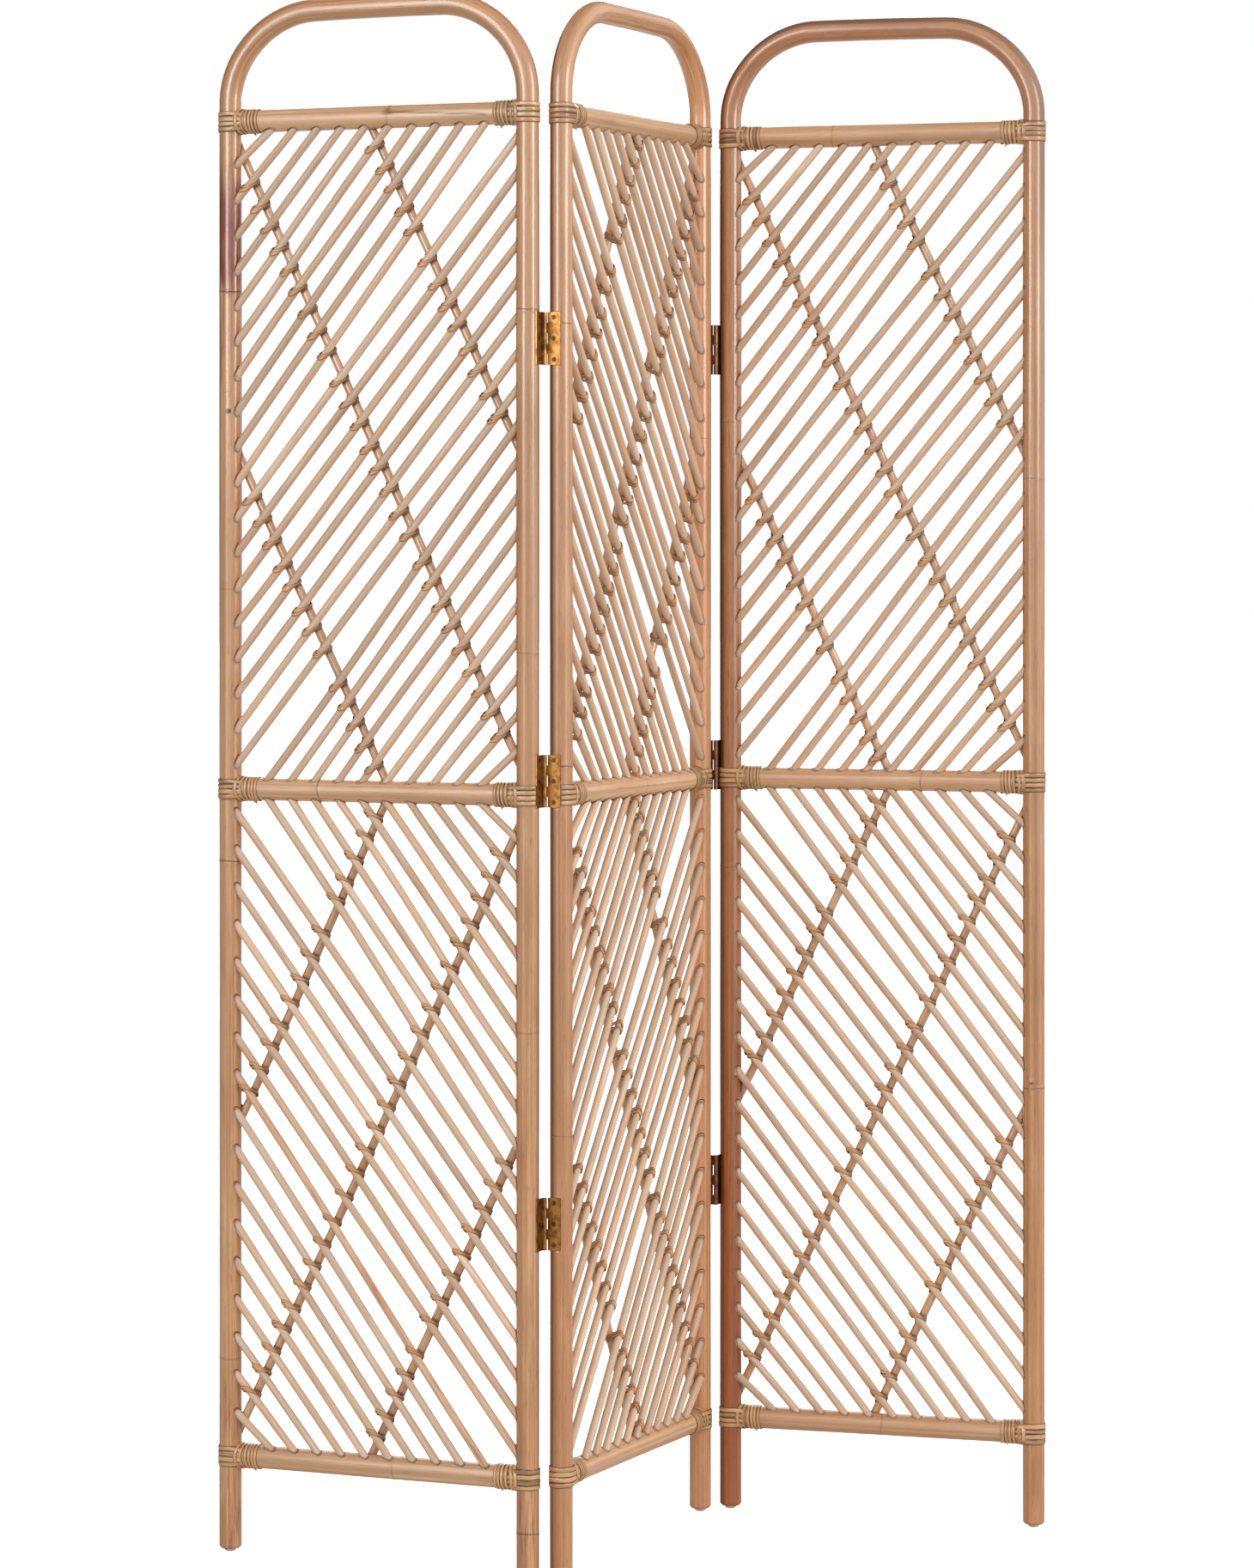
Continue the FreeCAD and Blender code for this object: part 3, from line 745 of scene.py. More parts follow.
@dataclass(frozen=True)
class MetalFinish:
    """How a metal piece looks, with its patina."""

    name: str
    base: Shade
    patina: Shade
    dark: Shade
    rough: float = 0.28
    patina_share: float = 0.6
    patina_scale: float = 95.0
    patina_range: Pair = (0.38, 0.66)
    patina_rough: float = 0.22
    spot_scale: float = 620.0
    spot_range: Pair = (0.6, 0.75)
    spot_share: float = 0.55
    scratch_scales: Triple = (2600.0, 2600.0, 160.0)
    scratch_rough: float = 0.1
    relief: float = 0.03 * MM
    relief_share: float = 0.5

    def material(self) -> Material:
        """Builds the finish: worn plating with patches of patina and fine scratches.

        Returns:
            The material.
        """
        made, net, surface = new_material(self.name)
        place = net.node("ShaderNodeTexCoord").outputs["Object"]
        cloud = net.noise(place, self.patina_scale, detail=4.0, rough=0.6)
        spots = net.noise(place, self.spot_scale, detail=2.0, rough=0.5)
        scratch = net.noise(net.stretch(place, self.scratch_scales), detail=2.0, rough=0.5)
        worn = net.between(cloud, *self.patina_range, 0.0, self.patina_share)
        colour = net.mix(worn, shade(*self.base), shade(*self.patina))
        spotted = net.between(spots, *self.spot_range, 0.0, self.spot_share)
        rough = net.sum_of("MULTIPLY_ADD", cloud, self.patina_rough, self.rough)
        rough = net.sum_of("MULTIPLY_ADD", scratch, self.scratch_rough, rough, clamp=True)
        net.feed_all(surface, {"Base Color": net.mix(spotted, colour, shade(*self.dark)),
                               "Metallic": 1.0, "Roughness": rough})
        net.bump(surface, net.sum_of("ADD", scratch, spots), self.relief, self.relief_share)
        return made


@dataclass(frozen=True)
class PlasticFinish:
    """How the pale glides look: cloudy and a little scuffed."""

    name: str
    base: Shade
    scuff: Shade
    rough: float = 0.35
    cloud_scale: float = 260.0
    cloud_range: Pair = (0.4, 0.7)
    cloud_rough: float = 0.3
    scuff_height: float = 2.2 * MM
    scuff_share: float = 0.5
    depth_share: float = 0.25
    depths: Triple = (2 * MM, 2 * MM, 1.6 * MM)

    def material(self) -> Material:
        """Builds the finish.

        Returns:
            The material.
        """
        made, net, surface = new_material(self.name)
        place = net.node("ShaderNodeTexCoord").outputs["Object"]
        cloud = net.noise(place, self.cloud_scale, rough=0.6)
        height = net.parts(place)[2]
        near_floor = net.between(height, self.scuff_height, 0.0, 0.0, self.scuff_share)
        share = net.sum_of("MULTIPLY", net.between(cloud, *self.cloud_range), near_floor)
        net.feed_all(surface, {
            "Base Color": net.mix(share, shade(*self.base), shade(*self.scuff)),
            "Roughness": net.sum_of("MULTIPLY_ADD", cloud, self.cloud_rough, self.rough),
            "Subsurface Weight": self.depth_share, "Subsurface Radius": self.depths})
        return made


def make_finishes() -> dict[str, Material]:
    """Builds every material of the screen.

    Returns:
        The materials, by the kind of piece.
    """
    groups = {"Fibres": fibre_group(), "Patches": patch_group(), "Marks": marks_group()}
    canes = {
        "pole": CaneFinish(
            "varnished_pole", (216, 161, 106), (230, 186, 134), (192, 132, 78), (176, 120, 76),
            (134, 38, 4), (84, 42, 22), fineness=420.0, stretch=110.0, streak_share=0.55,
            fleck_share=0.5, band_share=0.18, tint_share=0.08, rough=0.5, varnish=1.0,
            varnish_rough=0.19, relief=0.08 * MM),
        "rail": CaneFinish(
            "varnished_rail", (224, 181, 135), (234, 202, 160), (204, 154, 105), (196, 147, 102),
            (170, 112, 66), (96, 58, 36), fineness=420.0, stretch=110.0, streak_share=0.45,
            fleck_share=0.25, band_share=0.16, tint_share=0.1, rough=0.45, varnish=0.35,
            varnish_rough=0.22, relief=0.12 * MM),
        "slat": CaneFinish(
            "peeled_slat", (228, 196, 163), (240, 214, 184), (208, 170, 132), (200, 163, 126),
            (186, 122, 82), (112, 76, 50), fineness=700.0, stretch=40.0, fleck_share=0.22,
            band_share=0.06, rough=0.55, rough_spread=0.15, varnish=0.1, varnish_rough=0.35,
            relief=0.14 * MM),
        "brace": CaneFinish(
            "glossy_brace", (226, 184, 140), (238, 206, 168), (188, 134, 90), (184, 132, 86),
            (130, 74, 44), (52, 28, 18), fineness=650.0, stretch=50.0, streak_share=0.45,
            fleck_share=0.3, band_share=0.12, varnish=0.8, varnish_rough=0.16, relief=0.12 * MM),
        "tie": CaneFinish(
            "split_rattan", (226, 166, 104), (240, 196, 140), (184, 118, 66), (170, 118, 70),
            (150, 84, 44), (60, 30, 16), fineness=850.0, stretch=30.0, fleck_share=0.3, rough=0.45,
            rough_spread=0.15, varnish=0.3, varnish_rough=0.22, relief=0.12 * MM),
        "tape": CaneFinish(
            "rattan_tape", (224, 176, 120), (240, 204, 156), (184, 128, 76), (168, 118, 70),
            (112, 66, 42), (58, 24, 8), fineness=800.0, stretch=40.0, streak_share=0.45,
            fleck_share=0.3, rough=0.42, rough_spread=0.15, varnish=0.4, varnish_rough=0.18,
            relief=0.1 * MM),
        "dowel": CaneFinish(
            "bare_dowel", (205, 172, 132), (218, 190, 152), (186, 150, 108), (182, 146, 104),
            (160, 120, 80), (120, 84, 54)),
    }
    others = {
        "brass": MetalFinish("aged_brass", (176, 130, 70), (98, 62, 32), (36, 20, 12),
                             rough=0.24, patina_share=0.8),
        # A darker copy of the brass for the right hinge line's leaves: painted shade, as those leaves
        # reflect little light.
        "brass_in_shade": MetalFinish("shaded_brass_copy", (140, 100, 70), (82, 54, 40), (34, 22, 18), rough=0.22),
        "screw": MetalFinish("dark_screw", (112, 76, 48), (66, 40, 26), (34, 22, 16),
                             rough=0.3, patina_share=0.8),
        "pin": MetalFinish("steel_pin", (150, 144, 134), (112, 92, 70), (66, 50, 38), rough=0.3),
        "glide": PlasticFinish("pale_glide", (226, 222, 212), (170, 158, 140)),
    }
    made = {kind: finish.material(groups) for kind, finish in canes.items()}
    return made | {kind: finish.material() for kind, finish in others.items()}


# Frame of a panel


@dataclass(frozen=True)
class PoleMark:
    """A mark on a pole: where it is, how long and wide, and how strong."""

    post: Post
    height: float
    half_length: float
    facing: float
    half_turn: float
    strength: float


@dataclass
class PoleLook:
    """What sets one panel's pole apart from the others."""

    tones: tuple[Pair, ...]
    crown_at: float
    crown_drop: float
    rings: tuple[tuple[Post, float, float], ...]
    stains: tuple[PoleMark, ...] = ()
    # Painted shade down a post's side next to a neighbouring post, and small real dark spots; both go in the
    # third mark.
    shades_and_spots: tuple[PoleMark, ...] = ()
    buds: tuple[PoleMark, ...] = ()


@dataclass
class BentPole:
    """The pole of one panel, bent over an arch, with node rings, hinge seats and cut feet."""

    place: Place
    look: PoleLook
    sides: int = 48
    step: float = 7 * MM
    ring_stations: tuple[float, ...] = (-6 * MM, -3 * MM, -1.2 * MM, -0.5 * MM, 0,
                                        0.5 * MM, 1.2 * MM, 3 * MM, 6 * MM)
    spot_stations: tuple[float, ...] = (-1, -0.6, -0.3, 0, 0.3, 0.6, 1)
    chamfer_stations: tuple[float, ...] = (0.35, 0.7, 1.0, 1.3)
    seat_edge: float = 0.1 * MM
    foot_chamfer: float = 2.4 * MM
    chamfer_slope: float = 0.85
    ring_width: float = 1.1 * MM
    ring_height: float = 0.35 * MM
    ring_reach: float = 5 * MM
    ring_tilt: float = 0.8 * MM
    groove_reach: float = 1 * MM
    groove_share: float = 0.9
    oval_share: float = 0.008
    oval_wave: float = 0.9
    uneven_share: float = 0.006
    uneven_wave: float = 0.4
    dome: float = 3.5 * MM
    mark_core: float = 0.55
    ring_dirt: float = 0.6
    foot_darkening: float = 0.35
    foot_darkening_reach: float = 2 * MM
    tone_shares: tuple[float, ...] = (0.1, 0.36, 0.5, 0.64, 0.9)
    tone_wave: float = 0.5
    tone_share: float = 0.2

    def stations(self) -> Points:
        """Distances along the pole where it gets a section, closer where something changes."""
        base = list(np.arange(0, self.length, self.step)) + [self.length]
        for post, height, _ in self.look.rings:
            centre = self.run_at(post, height)
            base += [centre + shift for shift in self.ring_stations]
        for spot in self.look.shades_and_spots + self.look.buds:
            centre = self.run_at(spot.post, spot.height)
            base += [centre + share * spot.half_length for share in self.spot_stations]
        for edge in (-SIZES.hinge_half, SIZES.hinge_half):
            for height in SIZES.hinge_heights:
                for post in Post:
                    centre = self.run_at(post, height + edge)
                    base += [centre - self.seat_edge, centre + self.seat_edge]
        ends = [self.foot_chamfer * share for share in self.chamfer_stations]
        base += ends + [self.length - end for end in ends]
        return np.unique(np.round(np.clip(base, 0, self.length), 6))

    @property
    def spring(self) -> float:
        """Height where the arch starts."""
        return SIZES.height - SIZES.pole_radius - SIZES.corner_radius

    @property
    def length(self) -> float:
        """Length of the whole pole along its middle."""
        flat = SIZES.spacing - 2 * SIZES.corner_radius
        return 2 * (self.spring - SIZES.foot_gap) + math.pi * SIZES.corner_radius + flat

    def run_at(self, post: Post, height: float) -> float:
        """Distance along the pole of a place on one of its posts."""
        run = height - SIZES.foot_gap
        return run if post is Post.LEFT else self.length - run

    def centre_line(self, run: Points) -> Points:
        """The middle of the pole.

        Args:
            run: Distances along the pole.

        Returns:
            Points along, back and up.
        """
        straight = self.spring - SIZES.foot_gap
        bend = math.pi / 2 * SIZES.corner_radius
        flat = SIZES.spacing - 2 * SIZES.corner_radius
        half = straight + bend + flat / 2
        part = np.where(run <= half, run, self.length - run)
        turn = np.clip((part - straight) / SIZES.corner_radius, 0, math.pi / 2)
        along = SIZES.corner_radius * (1 - np.cos(turn)) + np.clip(part - straight - bend, 0, None)
        up = SIZES.foot_gap + np.clip(part, 0, straight) + SIZES.corner_radius * np.sin(turn)
        along = np.where(run <= half, along, SIZES.spacing - along)
        lift = soft_step(up, self.spring, SIZES.height - SIZES.pole_radius)
        away = (along - self.look.crown_at) / (SIZES.spacing / 2)
        up = up - lift * (self.look.crown_drop + self.dome * away ** 2)
        return np.stack((along, np.zeros_like(along), up), axis=1)

    def section(self, run: Points, dice: random.Random) -> Points:
        """The pole's section at each station, a little uneven and bulged at its rings."""
        turn = turns_of(self.sides)
        radius = np.full((len(run), self.sides), SIZES.pole_radius)
        radius *= 1 + self.uneven_share * (wander(run, self.uneven_wave, dice)[:, None] - 1)
        twist = 2 * wander(run, self.oval_wave, dice)[:, None]
        radius *= 1 + self.oval_share * (np.cos(2 * turn + twist) - 1)
        for post, height, strength in self.look.rings:
            centre = self.run_at(post, height)
            tilted = run[:, None] + self.ring_tilt * np.sin(turn + dice.uniform(*PHASES))
            swell = bump_at(tilted, centre, self.ring_reach)
            swell = swell - self.groove_share * bump_at(tilted, centre, self.groove_reach)
            radius += self.ring_height * strength * swell
        for bud in self.look.buds:
            away = angle_from(turn, bud.facing)
            reach = bump_at(run, self.run_at(bud.post, bud.height), bud.half_length)[:, None]
            radius += bud.strength * MM * reach * (1 - soft_step(away, 0, bud.half_turn))
        ends = np.minimum(run, self.length - run)
        radius -= (self.chamfer_slope * np.clip(self.foot_chamfer - ends, 0, None))[:, None]
        return round_section(turn, radius)

    def marks(self, run: Points, dice: random.Random) -> Points:
        """Stain, dark line, and dirt together with painted shade of each point.

        Args:
            run: Distances along the pole.
            dice: Where the chance comes from.

        Returns:
            The three marks for each point of each section.
        """
        turn = turns_of(self.sides)
        made = np.zeros((len(run), self.sides, 3))
        # Stains are real; the long shade marks paint shade down post sides that a neighbouring post keeps
        # from the light, and the short ones are small real dark spots.
        for channel, spots in ((STAIN, self.look.stains), (DIRT_AND_SHADE, self.look.shades_and_spots)):
            for spot in spots:
                centre = self.run_at(spot.post, spot.height)
                away = angle_from(turn, spot.facing)
                reach = bump_at(run, centre, spot.half_length)[:, None]
                wide = 1 - soft_step(away, self.mark_core * spot.half_turn, spot.half_turn)
                darken(made, channel, spot.strength * np.sqrt(reach) * wide)
        for post, height, strength in self.look.rings:
            centre = self.run_at(post, height)
            tilted = run[:, None] + self.ring_tilt * np.sin(turn + dice.uniform(*PHASES))
            line = bump_at(tilted, centre, self.ring_width)
            darken(made, LINE, strength * line)
            darken(made, DIRT_AND_SHADE, self.ring_dirt * strength * line)
        ends = np.minimum(run, self.length - run)
        # Darker near the pole's cut ends.
        darken(made, DIRT_AND_SHADE, self.foot_darkening * bump_at(ends, 0, self.foot_darkening_reach)[:, None])
        return made

    def seat_leaves(self, body: Points) -> Points:
        """Planes the flats that the hinge leaves lie on."""
        for post in hinged_posts(self.place.side):
            foot = 0.0 if post is Post.LEFT else SIZES.spacing
            out = -post.value * (body[..., 0] - foot)
            for height in SIZES.hinge_heights:
                near = np.abs(body[..., 2] - height) <= SIZES.hinge_half
                cut = near & (out > SIZES.leaf_seat) & (out < 2 * SIZES.pole_radius)
                body[..., 0] = np.where(cut, foot - post.value * SIZES.leaf_seat, body[..., 0])
        return body

    def build(self, finish: Material) -> bpy.types.Object:
        """Makes the pole.

        Args:
            finish: Its material.

        Returns:
            The piece.
        """
        dice = random.Random(f"pole {self.place.side.value}")
        draft = Draft(self.place)
        run = self.stations()
        spots = np.array(self.tone_shares) * self.length
        tone = np.zeros((len(run), 3))
        for part in range(2):
            tone[:, part] = np.interp(run, spots, [pair[part] for pair in self.look.tones])
        tone[:, 0] += self.tone_share * wander(run, self.tone_wave, dice)
        line = self.centre_line(run)
        section = self.section(run, dice)
        marks = self.marks(run, dice)
        level_sweep(draft, line, section, tone[:, None], marks, dice.uniform(*POLE_STARTS))
        draft.points[-1] = self.seat_leaves(draft.points[-1])
        name = f"{self.place.side.value}_arch_pole"
        return draft.build(f"{name}_skin", [name], "pole", finish)


def hinged_posts(side: Side) -> tuple[Post, ...]:
    """The posts of a panel that carry hinges."""
    return {Side.LEFT: (Post.RIGHT,), Side.MIDDLE: (Post.LEFT, Post.RIGHT), Side.RIGHT: (Post.LEFT,)}[side]


@dataclass(frozen=True)
class RailLook:
    """What sets one rail apart: its tone, its rings, its cracks and its stains.

    A ring is given by its place and strength, a crack by its start, end, facing and drift round the
    rail, a stain by its middle, reach, facing and half width round the rail.
    """

    tone: Triple
    rings: tuple[Pair, ...] = ()
    cracks: tuple[tuple[float, float, float, float], ...] = ()
    stains: tuple[tuple[float, float, float, float], ...] = ()


@dataclass
class Rails:
    """The three rails of one panel."""

    place: Place
    looks: tuple[RailLook, RailLook, RailLook]
    sides: int = 40
    step: float = 6 * MM
    inset: float = 7 * MM
    ring_stations: tuple[float, ...] = (-3 * MM, -1 * MM, -0.4 * MM, 0, 0.4 * MM, 1 * MM, 3 * MM)
    uneven_share: float = 0.008
    uneven_wave: float = 0.3
    oval_share: float = 0.012
    ring_width: float = 1.1 * MM
    ring_height: float = 0.3 * MM
    ring_reach: float = 4 * MM
    ring_tilt: float = 1 * MM
    crack_turns: Pair = (0.02, 0.13)
    crack_depth: float = 0.25 * MM
    stain_core: float = 0.5

    def rail(self, height: float, look: RailLook, dice: random.Random) -> Draft:
        """Sweeps one rail from post to post.

        Args:
            height: The height of its middle.
            look: Its own look.
            dice: Where the chance comes from.

        Returns:
            The draft with the rail.
        """
        draft = Draft(self.place)
        last = SIZES.spacing - self.inset
        base = list(np.arange(self.inset, last, self.step)) + [last]
        for ring, _ in look.rings:
            base += [ring + shift for shift in self.ring_stations]
        along = np.unique(np.round(base, 6))
        line = np.stack((along, np.zeros_like(along), np.full_like(along, height)), axis=1)
        turn = turns_of(self.sides)
        radius = np.full((len(along), self.sides), SIZES.pole_radius)
        radius *= 1 + self.uneven_share * wander(along, self.uneven_wave, dice)[:, None]
        radius *= 1 + self.oval_share * np.cos(2 * turn + dice.uniform(*PHASES))
        marks = np.zeros((len(along), self.sides, 3))
        for ring, strength in look.rings:
            tilted = along[:, None] + self.ring_tilt * np.sin(turn + dice.uniform(*PHASES))
            radius += self.ring_height * strength * bump_at(tilted, ring, self.ring_reach)
            darken(marks, LINE, strength * bump_at(tilted, ring, self.ring_width))
        for start, end, facing, drift in look.cracks:
            centre = facing + drift * (along - start) / (end - start)
            inside = ((along > start) & (along < end))[:, None]
            crack = inside * (1 - soft_step(angle_from(turn[None], centre[:, None]), *self.crack_turns))
            darken(marks, LINE, crack)
            radius -= self.crack_depth * crack
        for centre, reach, facing, wide in look.stains:
            core = 1 - soft_step(angle_from(turn[None], facing), self.stain_core * wide, wide)
            darken(marks, STAIN, bump_at(along, centre, reach)[:, None] * core)
        section = round_section(turn, radius)
        level_sweep(draft, line, section, np.array(look.tone), marks, dice.uniform(*POLE_STARTS))
        return draft

    def build(self, finish: Material) -> None:
        """Makes the three rails.

        Args:
            finish: Their material.
        """
        for level, height, look in zip(("bottom", "middle", "top"), SIZES.rails, self.looks):
            name = f"{self.place.side.value}_{level}_rail"
            draft = self.rail(height, look, random.Random(f"rail {name}"))
            draft.build(f"{name}_skin", [name], "rail", finish)


# Canes of a panel


@dataclass(frozen=True)
class Cane:
    """One slat or brace: the points of its middle line, and its radius."""

    line: Points
    radius: float


@dataclass(frozen=True)
class Crossing:
    """Where a slat crosses a brace, as along and up.

    The way of each cane points away from where its tie is drawn to.
    """

    brace_index: int
    centre: Points
    slat: Points
    brace: Points


@dataclass(frozen=True)
class Strand:
    """One turn of a tie: its lean, climb to the back, skew, stand-off, bulge, place, dip and width."""

    tilt: float
    climb: float
    skew: float
    room: float
    slack: float
    side: float
    dip: float
    dip_at: float
    width: float


@dataclass(frozen=True)
class ToneSpread:
    """How the tones of like pieces differ: the middle and spread of their lightness and warmth."""

    lightness: Pair
    warmth: Pair

    def draw(self, dice: random.Random) -> Points:
        """The tone of one piece."""
        return np.array([dice.gauss(*self.lightness), dice.gauss(*self.warmth), 0.0])


@dataclass(frozen=True)
class TieStyle:
    """How the ties of a panel are drawn, in millimetres, with the angle where they sit lowest."""

    turns: tuple[int, ...]
    climb: float
    skew: float
    side: float
    spread: float
    dip: float
    dip_at: float


@dataclass
class Grille:
    """The slats, braces and ties of one section of a panel.

    Lengths are in metres, and the chances of ties, bows and brads in millimetres or shares. A pair is
    a range, or the middle and the spread of what chance draws.
    """

    place: Place
    section: Section
    finishes: dict[str, Material]
    sides: int = 14
    end_reach: float = 26 * MM
    end_step: float = 1.7 * MM
    middle_step: float = 13 * MM
    brace_step: float = 1.6 * MM
    slat_bow: float = 1.6 * MM
    slat_drift: float = 0.9 * MM
    slat_lifts: dict[tuple[Side, Section], float] = field(default_factory=lambda: {
        (Side.MIDDLE, Section.UPPER): 0.35, (Side.RIGHT, Section.UPPER): -0.2,
        (Side.RIGHT, Section.LOWER): -0.4})
    slat_tones: ToneSpread = ToneSpread((0, 0.4), (0.25, 0.35))
    brace_tones: ToneSpread = ToneSpread((0, 0.3), (0.1, 0.2))
    tie_tones: ToneSpread = ToneSpread((0.2, 0.45), (0.1, 0.3))
    slat_bows: Pair = (0.3, 0.5)
    slat_drifts: Pair = (0, 0.8)
    brace_bows: Pair = (0, 1)
    brace_drifts: Pair = (0, 0.8)
    deep_bow: float = 0.35 * MM
    end_share: float = 0.45
    straight_length: float = 0.45
    uneven_share: float = 0.03
    uneven_wave: float = 0.35
    slat_stains: tuple[float, ...] = (0, 0, 0, 0, 0, 0.35, 0.6)
    brace_stain: float = 0.25
    stain_facings: Pair = (-2.4, -0.7)
    stain_turns: Pair = (0.4, 1.5)
    stain_least: float = 0.6
    stain_wave: float = 0.2
    # Painted shade where a cane enters a post or rail.
    entry_dark: float = 0.85
    entry_reach: Pair = (0.2 * MM, 1.5 * MM)
    tie_width: float = 3.6 * MM
    tie_widths: Pair = (0.78, 1.06)
    tie_crown: float = 1.15 * MM
    tie_faces: int = 4
    tie_lean: float = 6
    tie_climb: float = 0.7
    tie_rooms: Pair = (0.15, 0.4)
    tie_slacks: Pair = (0, 0.3)
    first_slacks: Pair = (0.2, 1.0)
    far_slack: float = 0.6
    side_chance: float = 0.4
    dip_step: float = 2.5
    dip_chance: float = 0.5
    dip_reach: float = math.radians(110)
    tie_edge: Pair = (0.62, 1.0)
    # Painted shade on the ties' edges and sides.
    tie_edge_shade: float = 0.95
    tie_side_shade: float = 0.5
    turn_over: float = 4 * MM
    room_beside: float = 9 * MM
    room_above: float = 3 * MM
    front_points: int = 11
    back_points: int = 7
    left_angles: Pair = (-1.75, -1.95)
    back_angles: Pair = (-2.2, -4.08)
    right_angles: Pair = (1.95, 1.75)
    outer_ties: TieStyle = TieStyle((3, 3, 4), 7.0, 1.5, -0.4, 1.8, 0.8, 0.0)
    middle_ties: TieStyle = TieStyle((2, 3, 3), 2.0, 3.0, 1.5, 1.6, 4.5, math.radians(-60))
    # Painted shade on the braces beside the ties.
    gap_shade_strength: float = 0.8
    gap_place: float = -5.5 * MM
    gap_reach: float = 3.2 * MM
    # The rim round each cane's end is painted shade, darker on its upper side.
    rim_width: float = 0.8 * MM
    rim_lift: float = 0.25 * MM
    rim_shift: float = 0.7
    rim_depth: float = 2.5 * MM
    rim_overlap: float = 0.3 * MM
    rim_sink: float = 0.1 * MM
    rim_search: float = 40 * MM
    rim_steps: int = 161
    rim_heading: int = 4
    rim_least: float = 0.25
    rim_shading: Pair = (-0.3, 0.6)
    brad_sides: int = 7
    brad_radius: float = 0.65 * MM
    brad_share: float = 0.28
    brad_sizes: Pair = (0.7, 1.15)
    brad_places: Pair = (0.5, 2.0)
    brad_asides: Pair = (-1.2, 1.2)
    brad_rings: tuple[Pair, ...] = ((1.0, -0.5), (1.0, 0.12), (0.5, 0.22))
    brad_marks: Triple = (0.0, 1.0, 0.8)

    def __post_init__(self) -> None:
        """Sets up the chance of this section."""
        self.name = f"{self.place.side.value}_{self.section.value}"
        self.dice = random.Random(f"grille {self.name}")
        low, high = SIZES.section_span(self.section)
        self.low, self.high = low + SIZES.pole_radius, high - SIZES.pole_radius

    def slat_ends(self) -> list[Ends]:
        """Where each slat leaves its first edge and reaches its last, and which edges these are."""
        left, right = SIZES.pole_radius, SIZES.spacing - SIZES.pole_radius
        posts, rails = SIZES.slat_counts(self.place.side, self.section)
        on_rail = np.linspace(SIZES.inset_on_rail, SIZES.spacing - SIZES.inset_on_rail, rails)
        up_left = np.linspace(self.high - SIZES.first_on_post, self.low + SIZES.last_on_post, posts)
        up_right = np.linspace(self.high - SIZES.last_on_post, self.low + SIZES.first_on_post, posts)
        starts = [(np.array([left, z]), "post") for z in up_left]
        starts += [(np.array([x, self.low]), "rail") for x in on_rail]
        ends = [(np.array([x, self.high]), "rail") for x in on_rail]
        ends += [(np.array([right, z]), "post") for z in up_right]
        return [(start, end, one, other) for (start, one), (end, other) in zip(starts, ends)]

    def brace_ends(self) -> list[Ends]:
        """The same for the three braces, which run the other way."""
        left, right = SIZES.pole_radius, SIZES.spacing - SIZES.pole_radius
        slope = math.tan(SIZES.brace_slope)
        middle = (self.low + self.high) / 2
        found = []
        for offset in (0, SIZES.brace_offset, -SIZES.brace_offset):
            centre = SIZES.spacing / 2 + offset
            start, one = np.array([left, middle + (centre - left) * slope]), "post"
            end, other = np.array([right, middle - (right - centre) * slope]), "post"
            if start[1] > self.high:
                start, one = np.array([centre - (self.high - middle) / slope, self.high]), "rail"
            if end[1] < self.low:
                end, other = np.array([centre + (middle - self.low) / slope, self.low]), "rail"
            found.append((start, end, one, other))
        return found

    def cane(self, ends: Ends, depth: float, radius: float, bow: float, drift: float,
             step: float) -> Cane:
        """One cane with its slight bow, seated in its sockets.

        Args:
            ends: Where it leaves its edges, and which these are.
            depth: How far back its middle lies.
            radius: Its radius.
            bow: How far its middle stands off the straight line.
            drift: How far its quarters do, each to another side.
            step: How far apart its sections are, away from its ends.

        Returns:
            The cane.
        """
        near, far, one, other = ends
        ahead = unit(far - near)
        rates = {"post": abs(ahead[0]), "rail": abs(ahead[1])}
        near = near - ahead * SIZES.socket / rates[one]
        far = far + ahead * SIZES.socket / rates[other]
        length = float(np.linalg.norm(far - near))
        reach = min(self.end_reach, self.end_share * length)
        first = np.arange(0, reach, self.end_step)
        middle = np.linspace(reach, length - reach, max(2, round((length - 2 * reach) / step)))
        run = np.concatenate((first, middle, length - first[::-1]))
        part = run / length
        side = np.array([-ahead[1], ahead[0]])
        flat = near + ahead * run[:, None]
        flat = flat + side * (bow * np.sin(math.pi * part) + drift * np.sin(2 * math.pi * part))[:, None]
        if not self.place.rises(self.section):
            flat[:, 0] = SIZES.spacing - flat[:, 0]
        deep = depth + self.deep_bow * np.sin(math.pi * part) * self.dice.uniform(-1, 1)
        return Cane(np.stack((flat[:, 0], deep, flat[:, 1]), axis=1), radius)

    def slats(self) -> list[Cane]:
        """All slats of the section."""
        made = []
        for ends in self.slat_ends():
            length = float(np.linalg.norm(ends[1] - ends[0]))
            share = min(1.0, length / self.straight_length)
            bow = share * self.dice.gauss(*self.slat_bows) * self.slat_bow
            drift = share * self.dice.gauss(*self.slat_drifts) * self.slat_drift
            made.append(self.cane(ends, SIZES.slat_depth, SIZES.slat_radius, bow, drift,
                                  self.middle_step))
        return made

    def braces(self) -> list[Cane]:
        """The three braces of the section."""
        made = []
        for ends in self.brace_ends():
            bow = self.dice.gauss(*self.brace_bows) * MM
            drift = self.dice.gauss(*self.brace_drifts) * MM
            made.append(self.cane(ends, SIZES.brace_depth, SIZES.brace_radius, bow, drift,
                                  self.brace_step))
        return made

    def entry_shade(self, body: Points) -> Points:
        """Painted shade: how dark each point is because it lies close to where the cane enters a post or
        rail, in the shade of the hole.
        """
        return self.entry_dark * (1 - soft_step(self.surface_gap(body), *self.entry_reach))

